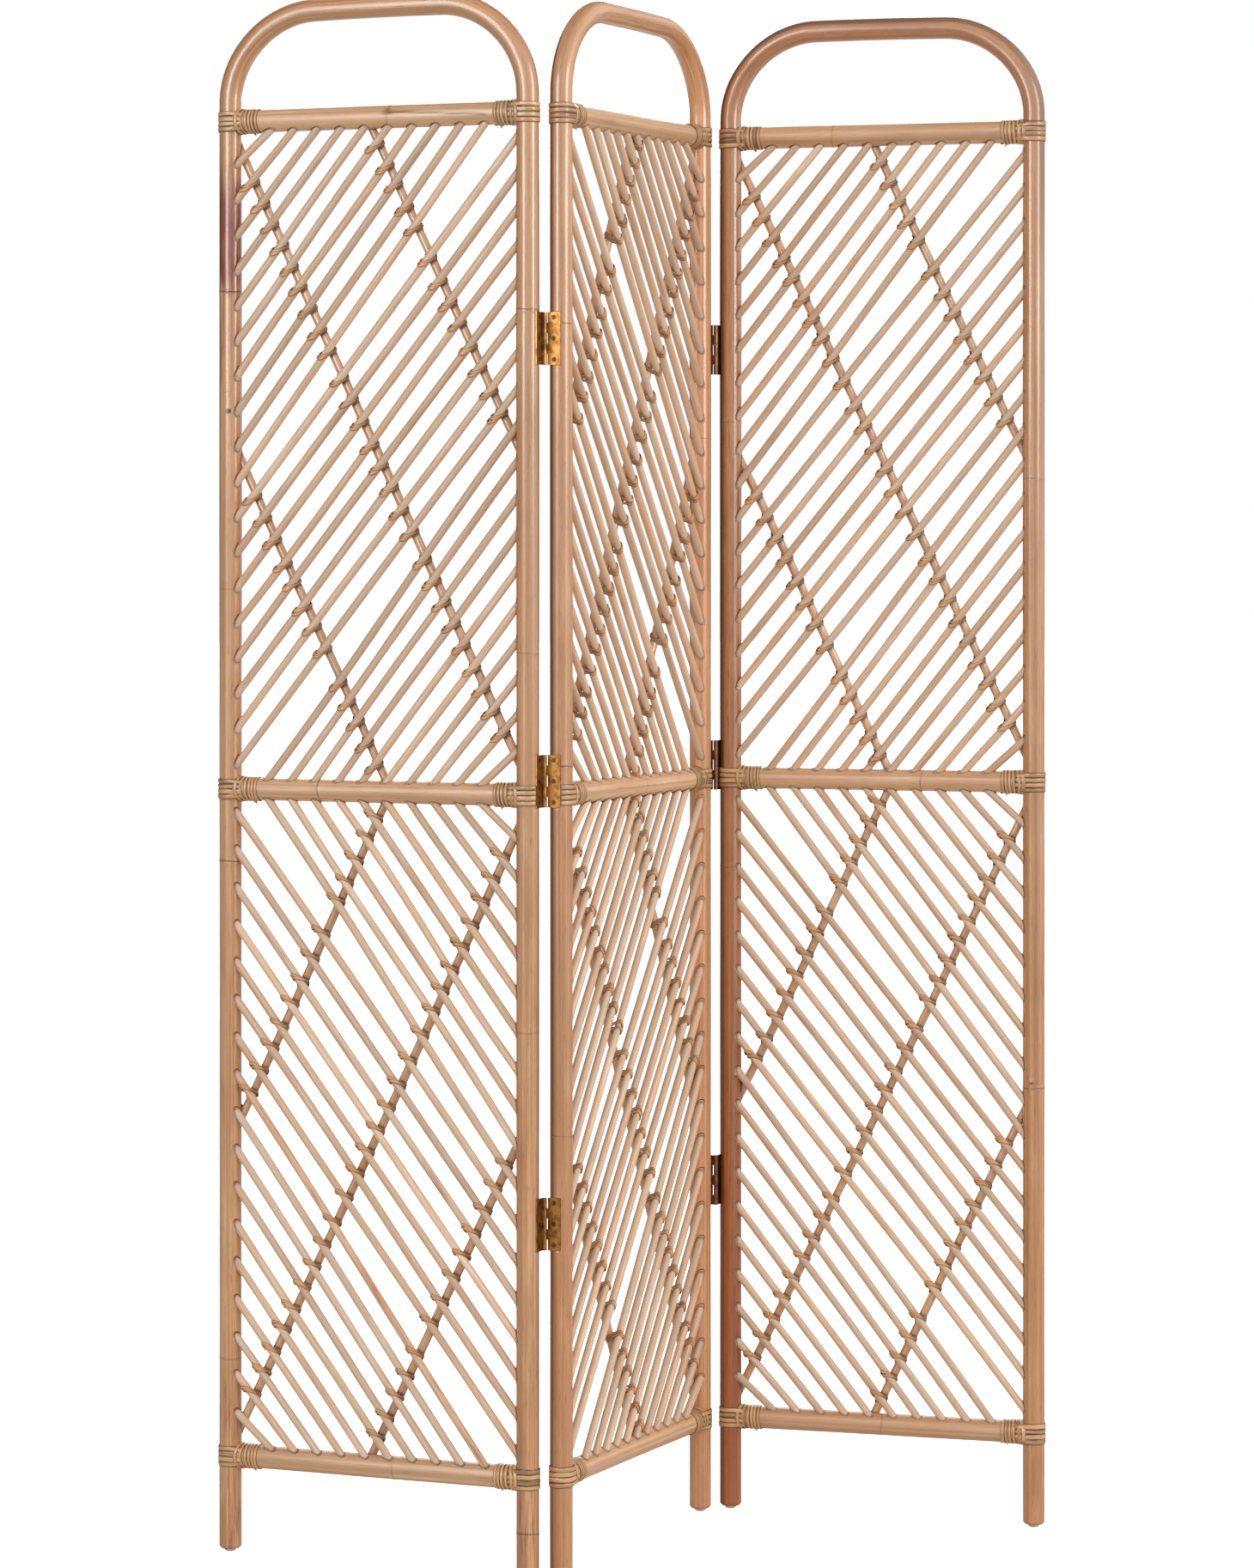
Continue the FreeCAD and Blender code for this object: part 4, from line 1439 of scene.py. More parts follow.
    def lay(self, draft: Draft, cane: Cane, tone: Points, stain: float) -> None:
        """Sweeps one cane.

        Args:
            draft: Where it goes.
            cane: The cane.
            tone: Its tone.
            stain: How strong its reddish streak is.
        """
        run = run_of(cane.line)
        turn = turns_of(self.sides)
        uneven = self.uneven_share * wander(run, self.uneven_wave, self.dice)
        radius = cane.radius * (1 + uneven)[:, None]
        radius = radius * (1 + self.uneven_share * np.cos(2 * turn + self.dice.uniform(*PHASES)))
        section = round_section(turn, radius)
        marks = np.zeros((len(run), self.sides, 3))
        if stain > 0:
            away = angle_from(turn, self.dice.uniform(*self.stain_facings))
            least = self.stain_least
            along = least + (1 - least) * wander(run, self.stain_wave, self.dice)
            marks[..., STAIN] = stain * (1 - soft_step(away, *self.stain_turns)) * along[:, None]
        level_sweep(draft, cane.line, section, tone, marks, self.dice.uniform(*CANE_STARTS))
        # Painted shade near where the cane enters its post or rail.
        draft.marks[-1][:, DIRT_AND_SHADE] = self.entry_shade(draft.points[-1])

    def surface_gap(self, points: Points) -> Points:
        """How far points stand clear of the nearest post or rail."""
        away = np.full(points.shape[:-1], 1.0)
        for foot in (0.0, SIZES.spacing):
            away = np.minimum(away, np.hypot(points[..., 0] - foot, points[..., 1]))
        for height in SIZES.rails:
            away = np.minimum(away, np.hypot(points[..., 2] - height, points[..., 1]))
        return away - SIZES.pole_radius

    def socket_shade_rim(self, draft: Draft, line: Points, radius: float) -> None:
        """A thin dark rim round a cane's end: painted shade standing for the shadow in the slightly oversize
        hole it sits in.

        Args:
            draft: Where it goes.
            line: The cane's middle line from this end on.
            radius: The cane's radius.
        """
        foot, ahead = line[0], unit(line[self.rim_heading] - line[0])
        across = unit(np.cross(ahead, np.array([0.0, 1.0, 0.0])))
        outward = np.cross(ahead, across)
        turn = turns_of(self.sides)
        ring = np.cos(turn)[:, None] * across + np.sin(turn)[:, None] * outward
        reach = radius + self.rim_width
        shift = np.array([-1.0, 0.0, 1.0]) * self.rim_shift * self.rim_width
        runs = np.linspace(0, self.rim_search, self.rim_steps)
        tried = foot + shift + ring[:, None] * reach + ahead * runs[None, :, None]
        clear = self.surface_gap(tried)
        last = np.argmax(clear > self.rim_lift, axis=1)
        rim = runs[last]
        body = np.stack([foot + shift + ring * reach + ahead * (rim - depth)[:, None]
                         for depth in (self.rim_depth, 0.0)])
        inner = foot + ring * (radius - self.rim_overlap) + ahead * (rim - self.rim_sink)[:, None]
        body = np.concatenate((body, inner[None]))
        # Painted shade: the rim is darker on its upper side, where the hole's edge shades it.
        dark = self.rim_least + (1 - self.rim_least) * soft_step(ring[:, 2], *self.rim_shading)
        marks = np.stack((np.zeros_like(dark), dark, dark), axis=1)
        draft.shell(body, PLAIN_TONE, np.broadcast_to(marks, body.shape))

    def brad(self, draft: Draft, line: Points, radius: float) -> None:
        """The small dark head of the nail that holds a slat's end.

        Args:
            draft: Where it goes.
            line: The slat's middle line from this end on.
            radius: The slat's radius.
        """
        clear = self.surface_gap(line)
        spot = line[int(np.argmax(clear > -self.dice.uniform(*self.brad_places) * MM))]
        turn = turns_of(self.brad_sides)
        size = self.brad_radius * self.dice.uniform(*self.brad_sizes)
        aside = self.dice.uniform(*self.brad_asides) * MM
        rings = []
        for share, lift in self.brad_rings:
            out = np.full(self.brad_sides, -radius - lift * MM)
            flat = np.stack((np.cos(turn) * size * share + aside, out, np.sin(turn) * size * share), axis=1)
            flat[:, 1] += abs(aside) ** 2 / (2 * radius)
            rings.append(spot + flat)
        body = np.stack(rings)
        draft.shell(body, PLAIN_TONE, np.broadcast_to(self.brad_marks, body.shape))

    def crossing(self, slat: Cane, brace: Cane) -> tuple[Points, Points, Points] | None:
        """Where a slat and a brace cross.

        Args:
            slat: The slat.
            brace: The brace.

        Returns:
            The place as along and up, and both directions there, or None.
        """
        one, other = slat.line[:, [0, 2]], brace.line[:, [0, 2]]
        ahead, beyond = np.diff(one, axis=0)[:, None], np.diff(other, axis=0)[None]
        offset = other[None, :-1] - one[:-1, None]
        area = ahead[..., 0] * beyond[..., 1] - ahead[..., 1] * beyond[..., 0]
        share = (offset[..., 0] * beyond[..., 1] - offset[..., 1] * beyond[..., 0]) / area
        rest = (offset[..., 0] * ahead[..., 1] - offset[..., 1] * ahead[..., 0]) / area
        hits = np.argwhere((share >= 0) & (share < 1) & (rest >= 0) & (rest < 1))
        if not len(hits):
            return None
        row, column = hits[0]
        return one[row] + ahead[row, 0] * share[row, column], unit(ahead[row, 0]), unit(beyond[0, column])

    def tie_loop(self, draft: Draft, crossing: Crossing, strand: Strand, tone: Points) -> None:
        """One turn of split rattan round a slat and the brace behind it.

        Args:
            draft: Where it goes.
            crossing: Where the canes cross.
            strand: The turn's own sizes.
            tone: Its tone.
        """
        lean = np.array([math.cos(strand.tilt), math.sin(strand.tilt)])
        slat, brace = crossing.slat, crossing.brace
        front_reach = SIZES.slat_radius / abs(lean[0] * slat[1] - lean[1] * slat[0]) + strand.room
        back_reach = SIZES.brace_radius / abs(lean[0] * brace[1] - lean[1] * brace[0]) + strand.room
        turn = np.linspace(0, math.pi, self.front_points)
        rear = np.linspace(0, math.pi, self.back_points)
        front = np.stack((np.cos(turn) * front_reach,
                          SIZES.slat_depth - np.sin(turn) * (SIZES.slat_radius + strand.room)), axis=1)
        back = np.stack((-np.cos(rear) * back_reach,
                         SIZES.brace_depth + np.sin(rear) * (SIZES.brace_radius + strand.room)), axis=1)
        shares = np.array([[1 / 3], [2 / 3]])
        left = front[-1] * (1 - shares) + back[0] * shares
        right = back[-1] * (1 - shares) + front[0] * shares
        loop = np.concatenate((front, left, back, right))
        facing = np.concatenate((
            np.stack((np.cos(turn), -np.sin(turn)), axis=1), np.tile([-1.0, 0.0], (2, 1)),
            np.stack((-np.cos(rear), np.sin(rear)), axis=1), np.tile([1.0, 0.0], (2, 1))))
        aside = loop[:, 0] / front_reach
        loop[:, 0] += strand.slack * np.clip(aside, 0, 1) ** 2
        loop[:, 0] -= strand.slack * self.far_slack * np.clip(-aside, 0, 1) ** 2
        frontness = soft_step(-loop[:, 1], -self.turn_over, self.turn_over)[:, None]
        across = unit(slat * frontness + brace * (1 - frontness))
        around = np.concatenate((math.pi / 2 - turn, self.left_angles,
                                 np.linspace(*self.back_angles, self.back_points), self.right_angles))
        low_share = np.clip((around - strand.dip_at) / self.dip_reach, -1, 1)
        lowest = np.cos(low_share * math.pi / 2) ** 2
        deep_share = (loop[:, 1] - SIZES.slat_depth) / (SIZES.brace_depth - SIZES.slat_depth)
        climb = strand.climb * (deep_share - 0.5)
        skew = strand.skew * np.clip(aside, -1, 1) * frontness[:, 0]
        shift = strand.side - strand.dip * lowest + climb + skew
        flat = crossing.centre + loop[:, :1] * lean + across * shift[:, None]
        line = np.stack((flat[:, 0], loop[:, 1], flat[:, 1]), axis=1)
        outward = np.stack((facing[:, 0] * lean[0], facing[:, 1], facing[:, 0] * lean[1]), axis=1)
        ahead = unit(np.roll(line, -1, axis=0) - np.roll(line, 1, axis=0))
        outward = unit(outward - ahead * np.sum(ahead * outward, axis=1, keepdims=True))
        wide = np.cross(outward, ahead)
        section = strip_section(strand.width, self.tie_crown, self.tie_faces)
        edge = np.abs(section[:, 0]) / (strand.width / 2)
        marks = np.zeros((len(loop), len(section), 3))
        # Painted shade: darker along the strip's edges, where it meets the next strand, and on its sides,
        # where it turns behind the brace.
        dirt_and_shade = self.tie_edge_shade * soft_step(edge, *self.tie_edge)
        sidelong = self.tie_side_shade * (np.abs(facing[:, 0]) ** 4)[:, None]
        marks[..., DIRT_AND_SHADE] = np.clip(dirt_and_shade + sidelong, 0, self.tie_edge_shade)
        start = self.dice.uniform(*CANE_STARTS)
        draft.sweep(line, wide, outward, section, tone, marks, start, closed=True)

    def crossings(self, slats: list[Cane], braces: list[Cane]) -> list[Crossing]:
        """Every crossing that is clear of posts and rails.

        Args:
            slats: The slats.
            braces: The braces.

        Returns:
            The crossings.
        """
        room = SIZES.pole_radius + self.room_beside
        lowest, highest = self.low + self.room_above, self.high - self.room_above
        made = []
        for index, brace in enumerate(braces):
            for slat in slats:
                found = self.crossing(slat, brace)
                if found is None:
                    continue
                centre, slat_way, brace_way = found
                inside = room < centre[0] < SIZES.spacing - room
                if inside and lowest < centre[1] < highest:
                    slat_up = slat_way if slat_way[1] > 0 else -slat_way
                    brace_up = brace_way if brace_way[1] > 0 else -brace_way
                    way = 1 if self.section is Section.UPPER else -1
                    made.append(Crossing(index, centre, slat_up * way, brace_up * way))
        return made

    def strand(self, style: TieStyle, number: int, count: int) -> Strand:
        """Draws the sizes of one turn of a tie.

        Args:
            style: How the panel's ties are drawn.
            number: Which turn it is, from 0.
            count: How many turns the tie has.

        Returns:
            The turn's sizes.
        """
        share = number / (count - 1)
        slack = self.dice.uniform(*self.tie_slacks)
        slack += self.dice.uniform(*self.first_slacks) if number == 0 else 0.0
        least, more = self.tie_rooms
        return Strand(
            tilt=math.radians(self.dice.gauss(0, self.tie_lean)),
            climb=self.dice.gauss(style.climb, self.tie_climb) * MM,
            skew=style.skew * MM,
            room=(least + more * share) * MM,
            slack=slack * MM,
            side=(style.side - style.spread * share + self.dice.gauss(0, self.side_chance)) * MM,
            dip=(style.dip + self.dip_step * share + self.dice.gauss(0, self.dip_chance)) * MM,
            dip_at=style.dip_at,
            width=self.tie_width * self.dice.uniform(*self.tie_widths))

    def ties(self, crossings: list[Crossing]) -> Draft:
        """The ties: a few turns each, drawn down over the slat in the middle.

        Args:
            crossings: Where they go.

        Returns:
            The draft with the ties.
        """
        draft = Draft(self.place)
        style = self.middle_ties if self.place.side is Side.MIDDLE else self.outer_ties
        for crossing in crossings:
            tone = self.tie_tones.draw(self.dice)
            count = self.dice.choice(style.turns)
            for number in range(count):
                self.tie_loop(draft, crossing, self.strand(style, number, count), tone)
        return draft

    def slat_tone(self) -> Points:
        """A tone for one slat: most are plain beige, some rosy, some greenish grey."""
        lift = self.slat_lifts.get((self.place.side, self.section), 0.0)
        return self.slat_tones.draw(self.dice) + np.array([lift, 0.0, 0.0])

    def gap_shade(self, draft: Draft, crossings: list[Crossing]) -> None:
        """Paints shade on the last brace just beside each tie, where the tie shades it.

        Args:
            draft: The draft whose last sweep is the brace.
            crossings: The crossings on this brace.
        """
        body = draft.points[-1][:, [0, 2]]
        for crossing in crossings:
            run = (body - crossing.centre) @ crossing.brace
            near = np.abs((body - crossing.centre) @ np.array([crossing.brace[1], -crossing.brace[0]]))
            dark = bump_at(run, self.gap_place, self.gap_reach) * (near < 2 * SIZES.brace_radius)
            darken(draft.marks[-1], DIRT_AND_SHADE, self.gap_shade_strength * dark)

    def build(self) -> Draft:
        """Makes the slats and the braces, and drafts the ties.

        Returns:
            The draft with the section's ties.
        """
        slats, braces = self.slats(), self.braces()
        draft = Draft(self.place)
        for slat in slats:
            stain = self.dice.choice(self.slat_stains) * self.dice.random()
            self.lay(draft, slat, self.slat_tone(), stain)
            for line in (slat.line, slat.line[::-1]):
                self.socket_shade_rim(draft, line, slat.radius)
                if self.dice.random() < self.brad_share:
                    self.brad(draft, line, slat.radius)
        name = f"{self.name}_slats"
        draft.build(f"{name}_skin", [name], "peeled_cane", self.finishes["slat"])
        draft = Draft(self.place)
        crossings = self.crossings(slats, braces)
        for index, brace in enumerate(braces):
            tone = self.brace_tones.draw(self.dice)
            self.lay(draft, brace, tone, self.brace_stain * self.dice.random())
            self.gap_shade(draft, [crossing for crossing in crossings if crossing.brace_index == index])
            for line in (brace.line, brace.line[::-1]):
                self.socket_shade_rim(draft, line, brace.radius)
        name = f"{self.name}_braces"
        draft.build(f"{name}_skin", [name], "glossy_cane", self.finishes["brace"])
        return self.ties(crossings)


def joined(drafts: Sequence[Draft]) -> Draft:
    """One draft that holds all pieces of several."""
    whole = Draft(drafts[0].place)
    for draft in drafts:
        whole.faces += [[index + whole.count for index in face] for face in draft.faces]
        whole.points += draft.points
        whole.grain += draft.grain
        whole.tone += draft.tone
        whole.marks += draft.marks
        whole.count += draft.count
    return whole


# Bindings


@dataclass(frozen=True)
class Joint:
    """Where a rail meets a post: the post, and the height of the rail."""

    post: Post
    height: float


@dataclass
class Bindings:
    """The straps round the posts and the tape round the rails of one panel.

    Lengths are in metres and turns in whole turns of the tape. A pair is a range.
    """

    place: Place
    finishes: dict[str, Material]
    strap_count: int = 4
    strap_pitch: float = 6 * MM
    strap_width: float = 6.1 * MM
    strap_crown: float = 1.5 * MM
    wrap_start: float = 15.6 * MM
    wrap_pitch: float = 4.2 * MM
    wrap_width: float = 4.3 * MM
    wrap_crown: float = 1.25 * MM
    wrap_turns: float = 5.0
    collar_turns: float = 1.0
    strap_tones: ToneSpread = ToneSpread((0, 0.6), (0.1, 0.35))
    wrap_tones: ToneSpread = ToneSpread((0, 0.4), (0.1, 0.3))
    tail_tone: Triple = (0.2, 0.1, 0.0)
    lift: float = 0.05 * MM
    leg_overlap: float = 4 * MM
    leg_points: int = 9
    bend_points: int = 27
    leg_start: float = 2 * MM
    leg_squeeze: float = 0.12
    strap_wander: float = 0.35 * MM
    strap_wave: float = 0.05
    strap_widths: Pair = (0.88, 1.1)
    strap_crowns: Pair = (0.75, 0.95)
    aged_spread: float = 0.35
    # Painted shade along the edges of straps and tape, where one strip meets the next.
    edge_band: Pair = (0.62, 0.98)
    edge_shade: float = 0.95
    leaf_turn: float = 0.03
    leaf_sink: float = 0.2 * MM
    points_per_turn: int = 44
    wander_run: float = 0.1
    hug: float = 5.0 * MM
    hug_turns: Pair = (-0.8, 2.2)
    hug_power: float = 1.5
    wrap_wander: float = 0.25 * MM
    first_lift: float = 0.9 * MM
    first_turns: Pair = (-0.6, 0.9)
    lift_wander: float = 0.08 * MM
    width_wander: float = 0.06
    first_width: float = 0.3
    first_width_turns: Pair = (-0.6, 0.4)
    wrap_stain: float = 0.5
    tail_points: int = 9
    tail_lengths: Pair = (6, 10)
    tail_runs: Pair = (0.2, 0.8)
    tail_swings: Pair = (0.1, 0.6)
    tail_turns: float = 1.4
    tail_lift: float = 0.9 * MM
    tail_drop: float = 2.6 * MM
    tail_width: float = 3.4 * MM
    tail_taper: float = 0.6
    tail_crown: float = 0.8 * MM

    def __post_init__(self) -> None:
        """Sets up the chance of this panel's bindings."""
        self.dice = random.Random(f"bindings {self.place.side.value}")

    def set_at(self, draft: Draft, joint: Joint) -> None:
        """Moves the last sweep from its drawing place, a left post at the origin, to its joint."""
        body = draft.points[-1]
        if joint.post is Post.RIGHT:
            body[:, 0] = SIZES.spacing - body[:, 0]
            body[:, 1] = -body[:, 1]
        body[:, 2] += joint.height

    def strap(self, draft: Draft, joint: Joint, rise: float, gap: Pair | None) -> None:
        """One strap round a post, its legs laid along the rail.

        Args:
            draft: Where it goes.
            joint: Which joint it binds.
            rise: How far the strap is above the rail's middle.
            gap: The part of its way round that a hinge leaf takes, from 0 to 1, or None.
        """
        base = SIZES.pole_radius + self.lift
        leg = self.wrap_start + self.leg_overlap
        legs = np.linspace(leg, 0, self.leg_points)
        turn = np.linspace(0, math.pi, self.bend_points)[1:-1]
        x = np.concatenate((legs, -base * np.sin(turn), legs[::-1]))
        y = np.concatenate((np.full_like(legs, -base), -base * np.cos(turn), np.full_like(legs, base)))
        onto = soft_step(x, self.leg_start, leg)
        z = rise * (1 - self.leg_squeeze * onto)
        drawn = np.sqrt(np.clip(base ** 2 - z ** 2, 0, None))
        y = np.sign(y) * np.where(x > 0, np.abs(y) * (1 - onto) + drawn * onto, np.abs(y))
        wave = run_of(np.stack((x, y), axis=1))
        z = z + self.strap_wander * wander(wave, self.strap_wave, self.dice)
        line = np.stack((x, y, z), axis=1)
        out = np.concatenate((np.tile([0.0, -1.0, 0.0], (len(legs), 1)),
                              np.stack((-np.sin(turn), -np.cos(turn), np.zeros_like(turn)), axis=1),
                              np.tile([0.0, 1.0, 0.0], (len(legs), 1))))
        lean = np.stack((np.zeros_like(x), np.sign(y) * drawn, z), axis=1) / base
        out = unit(out * (1 - onto[:, None]) + lean * onto[:, None])
        across = unit(np.cross(unit(np.gradient(line, axis=0)), out))
        width = self.strap_width * self.dice.uniform(*self.strap_widths)
        section = strip_section(width, self.strap_crown * self.dice.uniform(*self.strap_crowns))
        dirt_and_shade = self.edge_shade_marks(np.abs(section[:, 0]) / (width / 2))
        tone = self.strap_tones.draw(self.dice)
        aged = max(0.0, self.dice.gauss(0, self.aged_spread))
        share = wave / wave[-1]
        spans = [(0.0, 1.0)] if gap is None else [(0.0, gap[0]), (gap[1], 1.0)]
        for first, last in spans:
            keep = (share >= first) & (share <= last)
            marks = np.zeros((int(keep.sum()), len(section), 3))
            marks[..., STAIN] = aged
            marks[..., DIRT_AND_SHADE] = dirt_and_shade
            start = self.dice.uniform(*CANE_STARTS)
            draft.sweep(line[keep], across[keep], out[keep], section, tone, marks, start)
            self.set_at(draft, joint)

    def edge_shade_marks(self, edge: Points) -> Points:
        """Painted shade across a strip's width, darkest at its edges where it meets the next strip; 1 is its
        edge.
        """
        return self.edge_shade * soft_step(edge, *self.edge_band)

    def leaf_gap(self, joint: Joint) -> Pair | None:
        """Which part of a strap's way round a hinge leaf takes.

        Args:
            joint: Which joint the strap binds.

        Returns:
            Where the gap starts and ends, from 0 to 1, or None.
        """
        near_hinge = any(abs(joint.height - centre) < SIZES.hinge_half for centre in SIZES.hinge_heights)
        if joint.post not in hinged_posts(self.place.side) or not near_hinge:
            return None
        leg = self.wrap_start + self.leg_overlap
        base = SIZES.pole_radius
        whole = 2 * leg + math.pi * base
        near = leg + base * (math.pi / 2 - math.asin(SIZES.leaf_front / base) - self.leaf_turn)
        far = leg + base * (math.pi / 2 + math.acos((SIZES.leaf_seat - self.leaf_sink) / base))
        if (joint.post is Post.LEFT) == self.pin_behind(joint.post):
            return near / whole, far / whole
        return 1 - far / whole, 1 - near / whole

    def pin_behind(self, post: Post) -> bool:
        """Whether the hinge line at this post has its pins behind the panels."""
        return self.place.side is Side.LEFT or (self.place.side is Side.MIDDLE and post is Post.LEFT)

    def wrap(self, draft: Draft, joint: Joint) -> None:
        """The tape round a rail beside a post, its first turn drawn over the straps.

        Args:
            draft: Where it goes.
            joint: Which joint it binds.
        """
        along_wave, lift_wave, width_wave, stain_wave, whisker = 0.13, 0.09, 0.11, 0.3, 0.001
        turns = np.arange(-self.collar_turns, self.wrap_turns + whisker, 1 / self.points_per_turn)
        angle, run = 2 * math.pi * turns, turns * self.wander_run
        hug = self.hug * (1 - soft_step(turns, *self.hug_turns))
        along = self.wrap_start + self.wrap_pitch * (turns + 0.5)
        along = along - hug * np.abs(np.sin(angle)) ** self.hug_power
        along = along + self.wrap_wander * wander(run, along_wave, self.dice)
        over = self.first_lift * (1 - soft_step(turns, *self.first_turns))
        base = SIZES.pole_radius + self.lift + over
        base = base + self.lift_wander * wander(run, lift_wave, self.dice)
        line = np.stack((along, base * np.sin(angle), -base * np.cos(angle)), axis=1)
        outward = np.stack((np.zeros_like(angle), np.sin(angle), -np.cos(angle)), axis=1)
        ahead = unit(np.gradient(line, axis=0))
        outward = unit(outward - ahead * np.sum(ahead * outward, axis=1, keepdims=True))
        across = np.cross(ahead, outward)
        first = self.first_width * (1 - soft_step(turns, *self.first_width_turns))
        widths = self.wrap_width * (1 + self.width_wander * wander(run, width_wave, self.dice) + first)
        section = strip_sections(widths, self.wrap_crown)
        dirt_and_shade = self.edge_shade_marks(np.abs(strip_section(1.0, 1.0)[:, 0]) * 2)
        marks = np.zeros((len(turns), len(dirt_and_shade), 3))
        stain = self.wrap_stain * wander(run, stain_wave, self.dice)
        marks[..., STAIN] = np.clip(stain, 0, 1)[:, None]
        marks[..., DIRT_AND_SHADE] = dirt_and_shade
        tone = self.wrap_tones.draw(self.dice)
        draft.sweep(line, across, outward, section, tone, marks, self.dice.uniform(*CANE_STARTS))
        self.set_at(draft, joint)

    def tail(self, draft: Draft, joint: Joint) -> None:
        """The loose end of the tape, tucked under the last turn and bent away below the rail.

        Args:
            draft: Where it goes.
            joint: Which joint it binds.
        """
        part = np.linspace(0, 1, self.tail_points)
        length = self.dice.uniform(*self.tail_lengths) * MM
        start = self.wrap_start + self.wrap_pitch * (self.wrap_turns - self.tail_turns)
        x = start + length * part * self.dice.uniform(*self.tail_runs)
        y = -length * part * self.dice.uniform(*self.tail_swings)
        z = -(SIZES.pole_radius + self.tail_lift) - self.tail_drop * part ** 2
        line = np.stack((x, y, z), axis=1)
        ahead = unit(np.gradient(line, axis=0))
        outward = unit(np.cross(np.cross(ahead, np.array([0.0, 0.0, -1.0])), ahead))
        across = np.cross(ahead, outward)
        widths = self.tail_width * (1 - self.tail_taper * part ** 3)
        section = strip_sections(widths, self.tail_crown)
        start = self.dice.uniform(*CANE_STARTS)
        draft.sweep(line, across, outward, section, np.array(self.tail_tone), None, start)
        self.set_at(draft, joint)

    def build(self) -> None:
        """Makes all bindings of the panel."""
        straps, wraps = Draft(self.place), Draft(self.place)
        for height in SIZES.rails:
            for post in Post:
                joint = Joint(post, height)
                gap = self.leaf_gap(joint)
                for index in range(self.strap_count):
                    rise = self.strap_pitch * (index - (self.strap_count - 1) / 2)
                    self.strap(straps, joint, rise, gap)
                self.wrap(wraps, joint)
                self.tail(wraps, joint)
        for draft, kind in ((straps, "post_straps"), (wraps, "rail_wraps")):
            name = f"{self.place.side.value}_{kind}"
            draft.build(f"{name}_skin", [name], "rattan_tape", self.finishes["tape"])


# Metal and plastic pieces


@dataclass
class Fittings:
    """Hinges, screws, pins, dowels and glides, which keep their own solids."""

    finishes: dict[str, Material]

    def dress(self) -> None:
        """Gives each fitting its finish."""
        by_ending = {"_leaf": self.finishes["brass"], "_screws": self.finishes["screw"],
                     "_pins": self.finishes["pin"], "_dowels": self.finishes["dowel"],
                     "_glides": self.finishes["glide"]}
        for name, piece in frame["nodes"].items():
            for ending, finish in by_ending.items():
                if name.endswith(ending):
                    # The right hinge line's leaves get the darker copy of the brass: painted shade.
                    if ending == "_leaf" and name.startswith("right_hinge"):
                        finish = self.finishes["brass_in_shade"]
                    piece.data.materials.clear()
                    piece.data.materials.append(finish)
                    LOG.info("%s dressed with %s", name, finish.name)


# The three panels


def pole_looks() -> dict[Side, PoleLook]:
    """What each panel's pole shows: its tone, its rings and its stains."""
    left, right, front = Post.LEFT, Post.RIGHT, -math.pi / 2
    return {
        Side.LEFT: PoleLook(
            tones=((-0.3, 0.1), (0.0, 0.0), (0.0, 0.0), (-0.8, 0.4), (-0.9, 0.6)),
            crown_at=0.23,
            crown_drop=0.0,
            rings=((left, 1.468, 1.0), (left, 0.804, 0.9), (left, 0.226, 0.4), (left, 1.12, 0.25),
                   (right, 1.441, 0.7), (right, 1.05, 0.3), (right, 0.62, 0.3), (right, 0.05, 0.8)),
            stains=(PoleMark(left, 1.54, 0.09, -1.12, 4.0, 0.9),
                    PoleMark(left, 1.5, 0.045, -1.12, 4.0, 0.95),
                    PoleMark(left, 1.40, 0.08, front - 0.7, 0.7, 0.4),
                    PoleMark(left, 0.0, 0.25, -1.12, 4.0, 0.36),
                    PoleMark(right, 0.06, 0.06, front, 1.4, 0.35)),
            # Painted shade down one side of the right post, beside the middle panel; the short mark is a
            # small real dark spot.
            shades_and_spots=(PoleMark(right, 0.9, 1.9, 2.77, 0.5, 0.5),
                     PoleMark(left, 1.328, 0.0035, -1.32, 0.27, 1.5)),
        ),
        Side.MIDDLE: PoleLook(
            tones=((-1.5, 1.6), (0.2, 0.4), (0.3, 0.2), (1.0, 1.6), (0.1, 1.3)),
            crown_at=0.16,
            crown_drop=2 * MM,
            rings=((left, 1.425, 0.5), (left, 0.92, 0.8), (left, 0.5, 0.3), (right, 1.3, 0.3),
                   (right, 0.7, 0.3)),
            # Painted shade down one side of each post, where the neighbouring panels keep the light off.
            shades_and_spots=(PoleMark(left, 0.9, 1.9, 2.0, 1.05, 1.0), PoleMark(right, 0.9, 1.9, 2.0, 0.4, 0.3)),
        ),
        Side.RIGHT: PoleLook(
            tones=((-3.8, 3.6), (-1.4, 1.6), (-1.9, 1.6), (-0.3, 0.4), (-1.0, 1.0)),
            crown_at=0.17,
            crown_drop=0.0,
            rings=((left, 1.32, 0.3), (left, 0.78, 0.4), (right, 1.25, 0.35), (right, 0.5245, 0.6)),
            stains=(PoleMark(left, 1.2, 0.5, front, 2.2, 0.25), PoleMark(left, 0.4, 0.35, front, 2.2, 0.3)),
            # Painted shade down one side of each post; the two short marks are small real dark spots.
            shades_and_spots=(PoleMark(left, 0.9, 1.9, -2.855, 1.05, 1.0), PoleMark(right, 0.9, 1.9, -2.0, 0.3, 0.2),
                     PoleMark(right, 0.5306, 0.0025, front, 0.2, 0.8),
                     PoleMark(left, 0.526, 0.0025, -0.79, 0.2, 0.8)),
            buds=(PoleMark(right, 0.5306, 0.007, front, 0.5, 0.8),
                  PoleMark(left, 0.526, 0.006, -0.79, 0.45, 0.6)),
        ),
    }


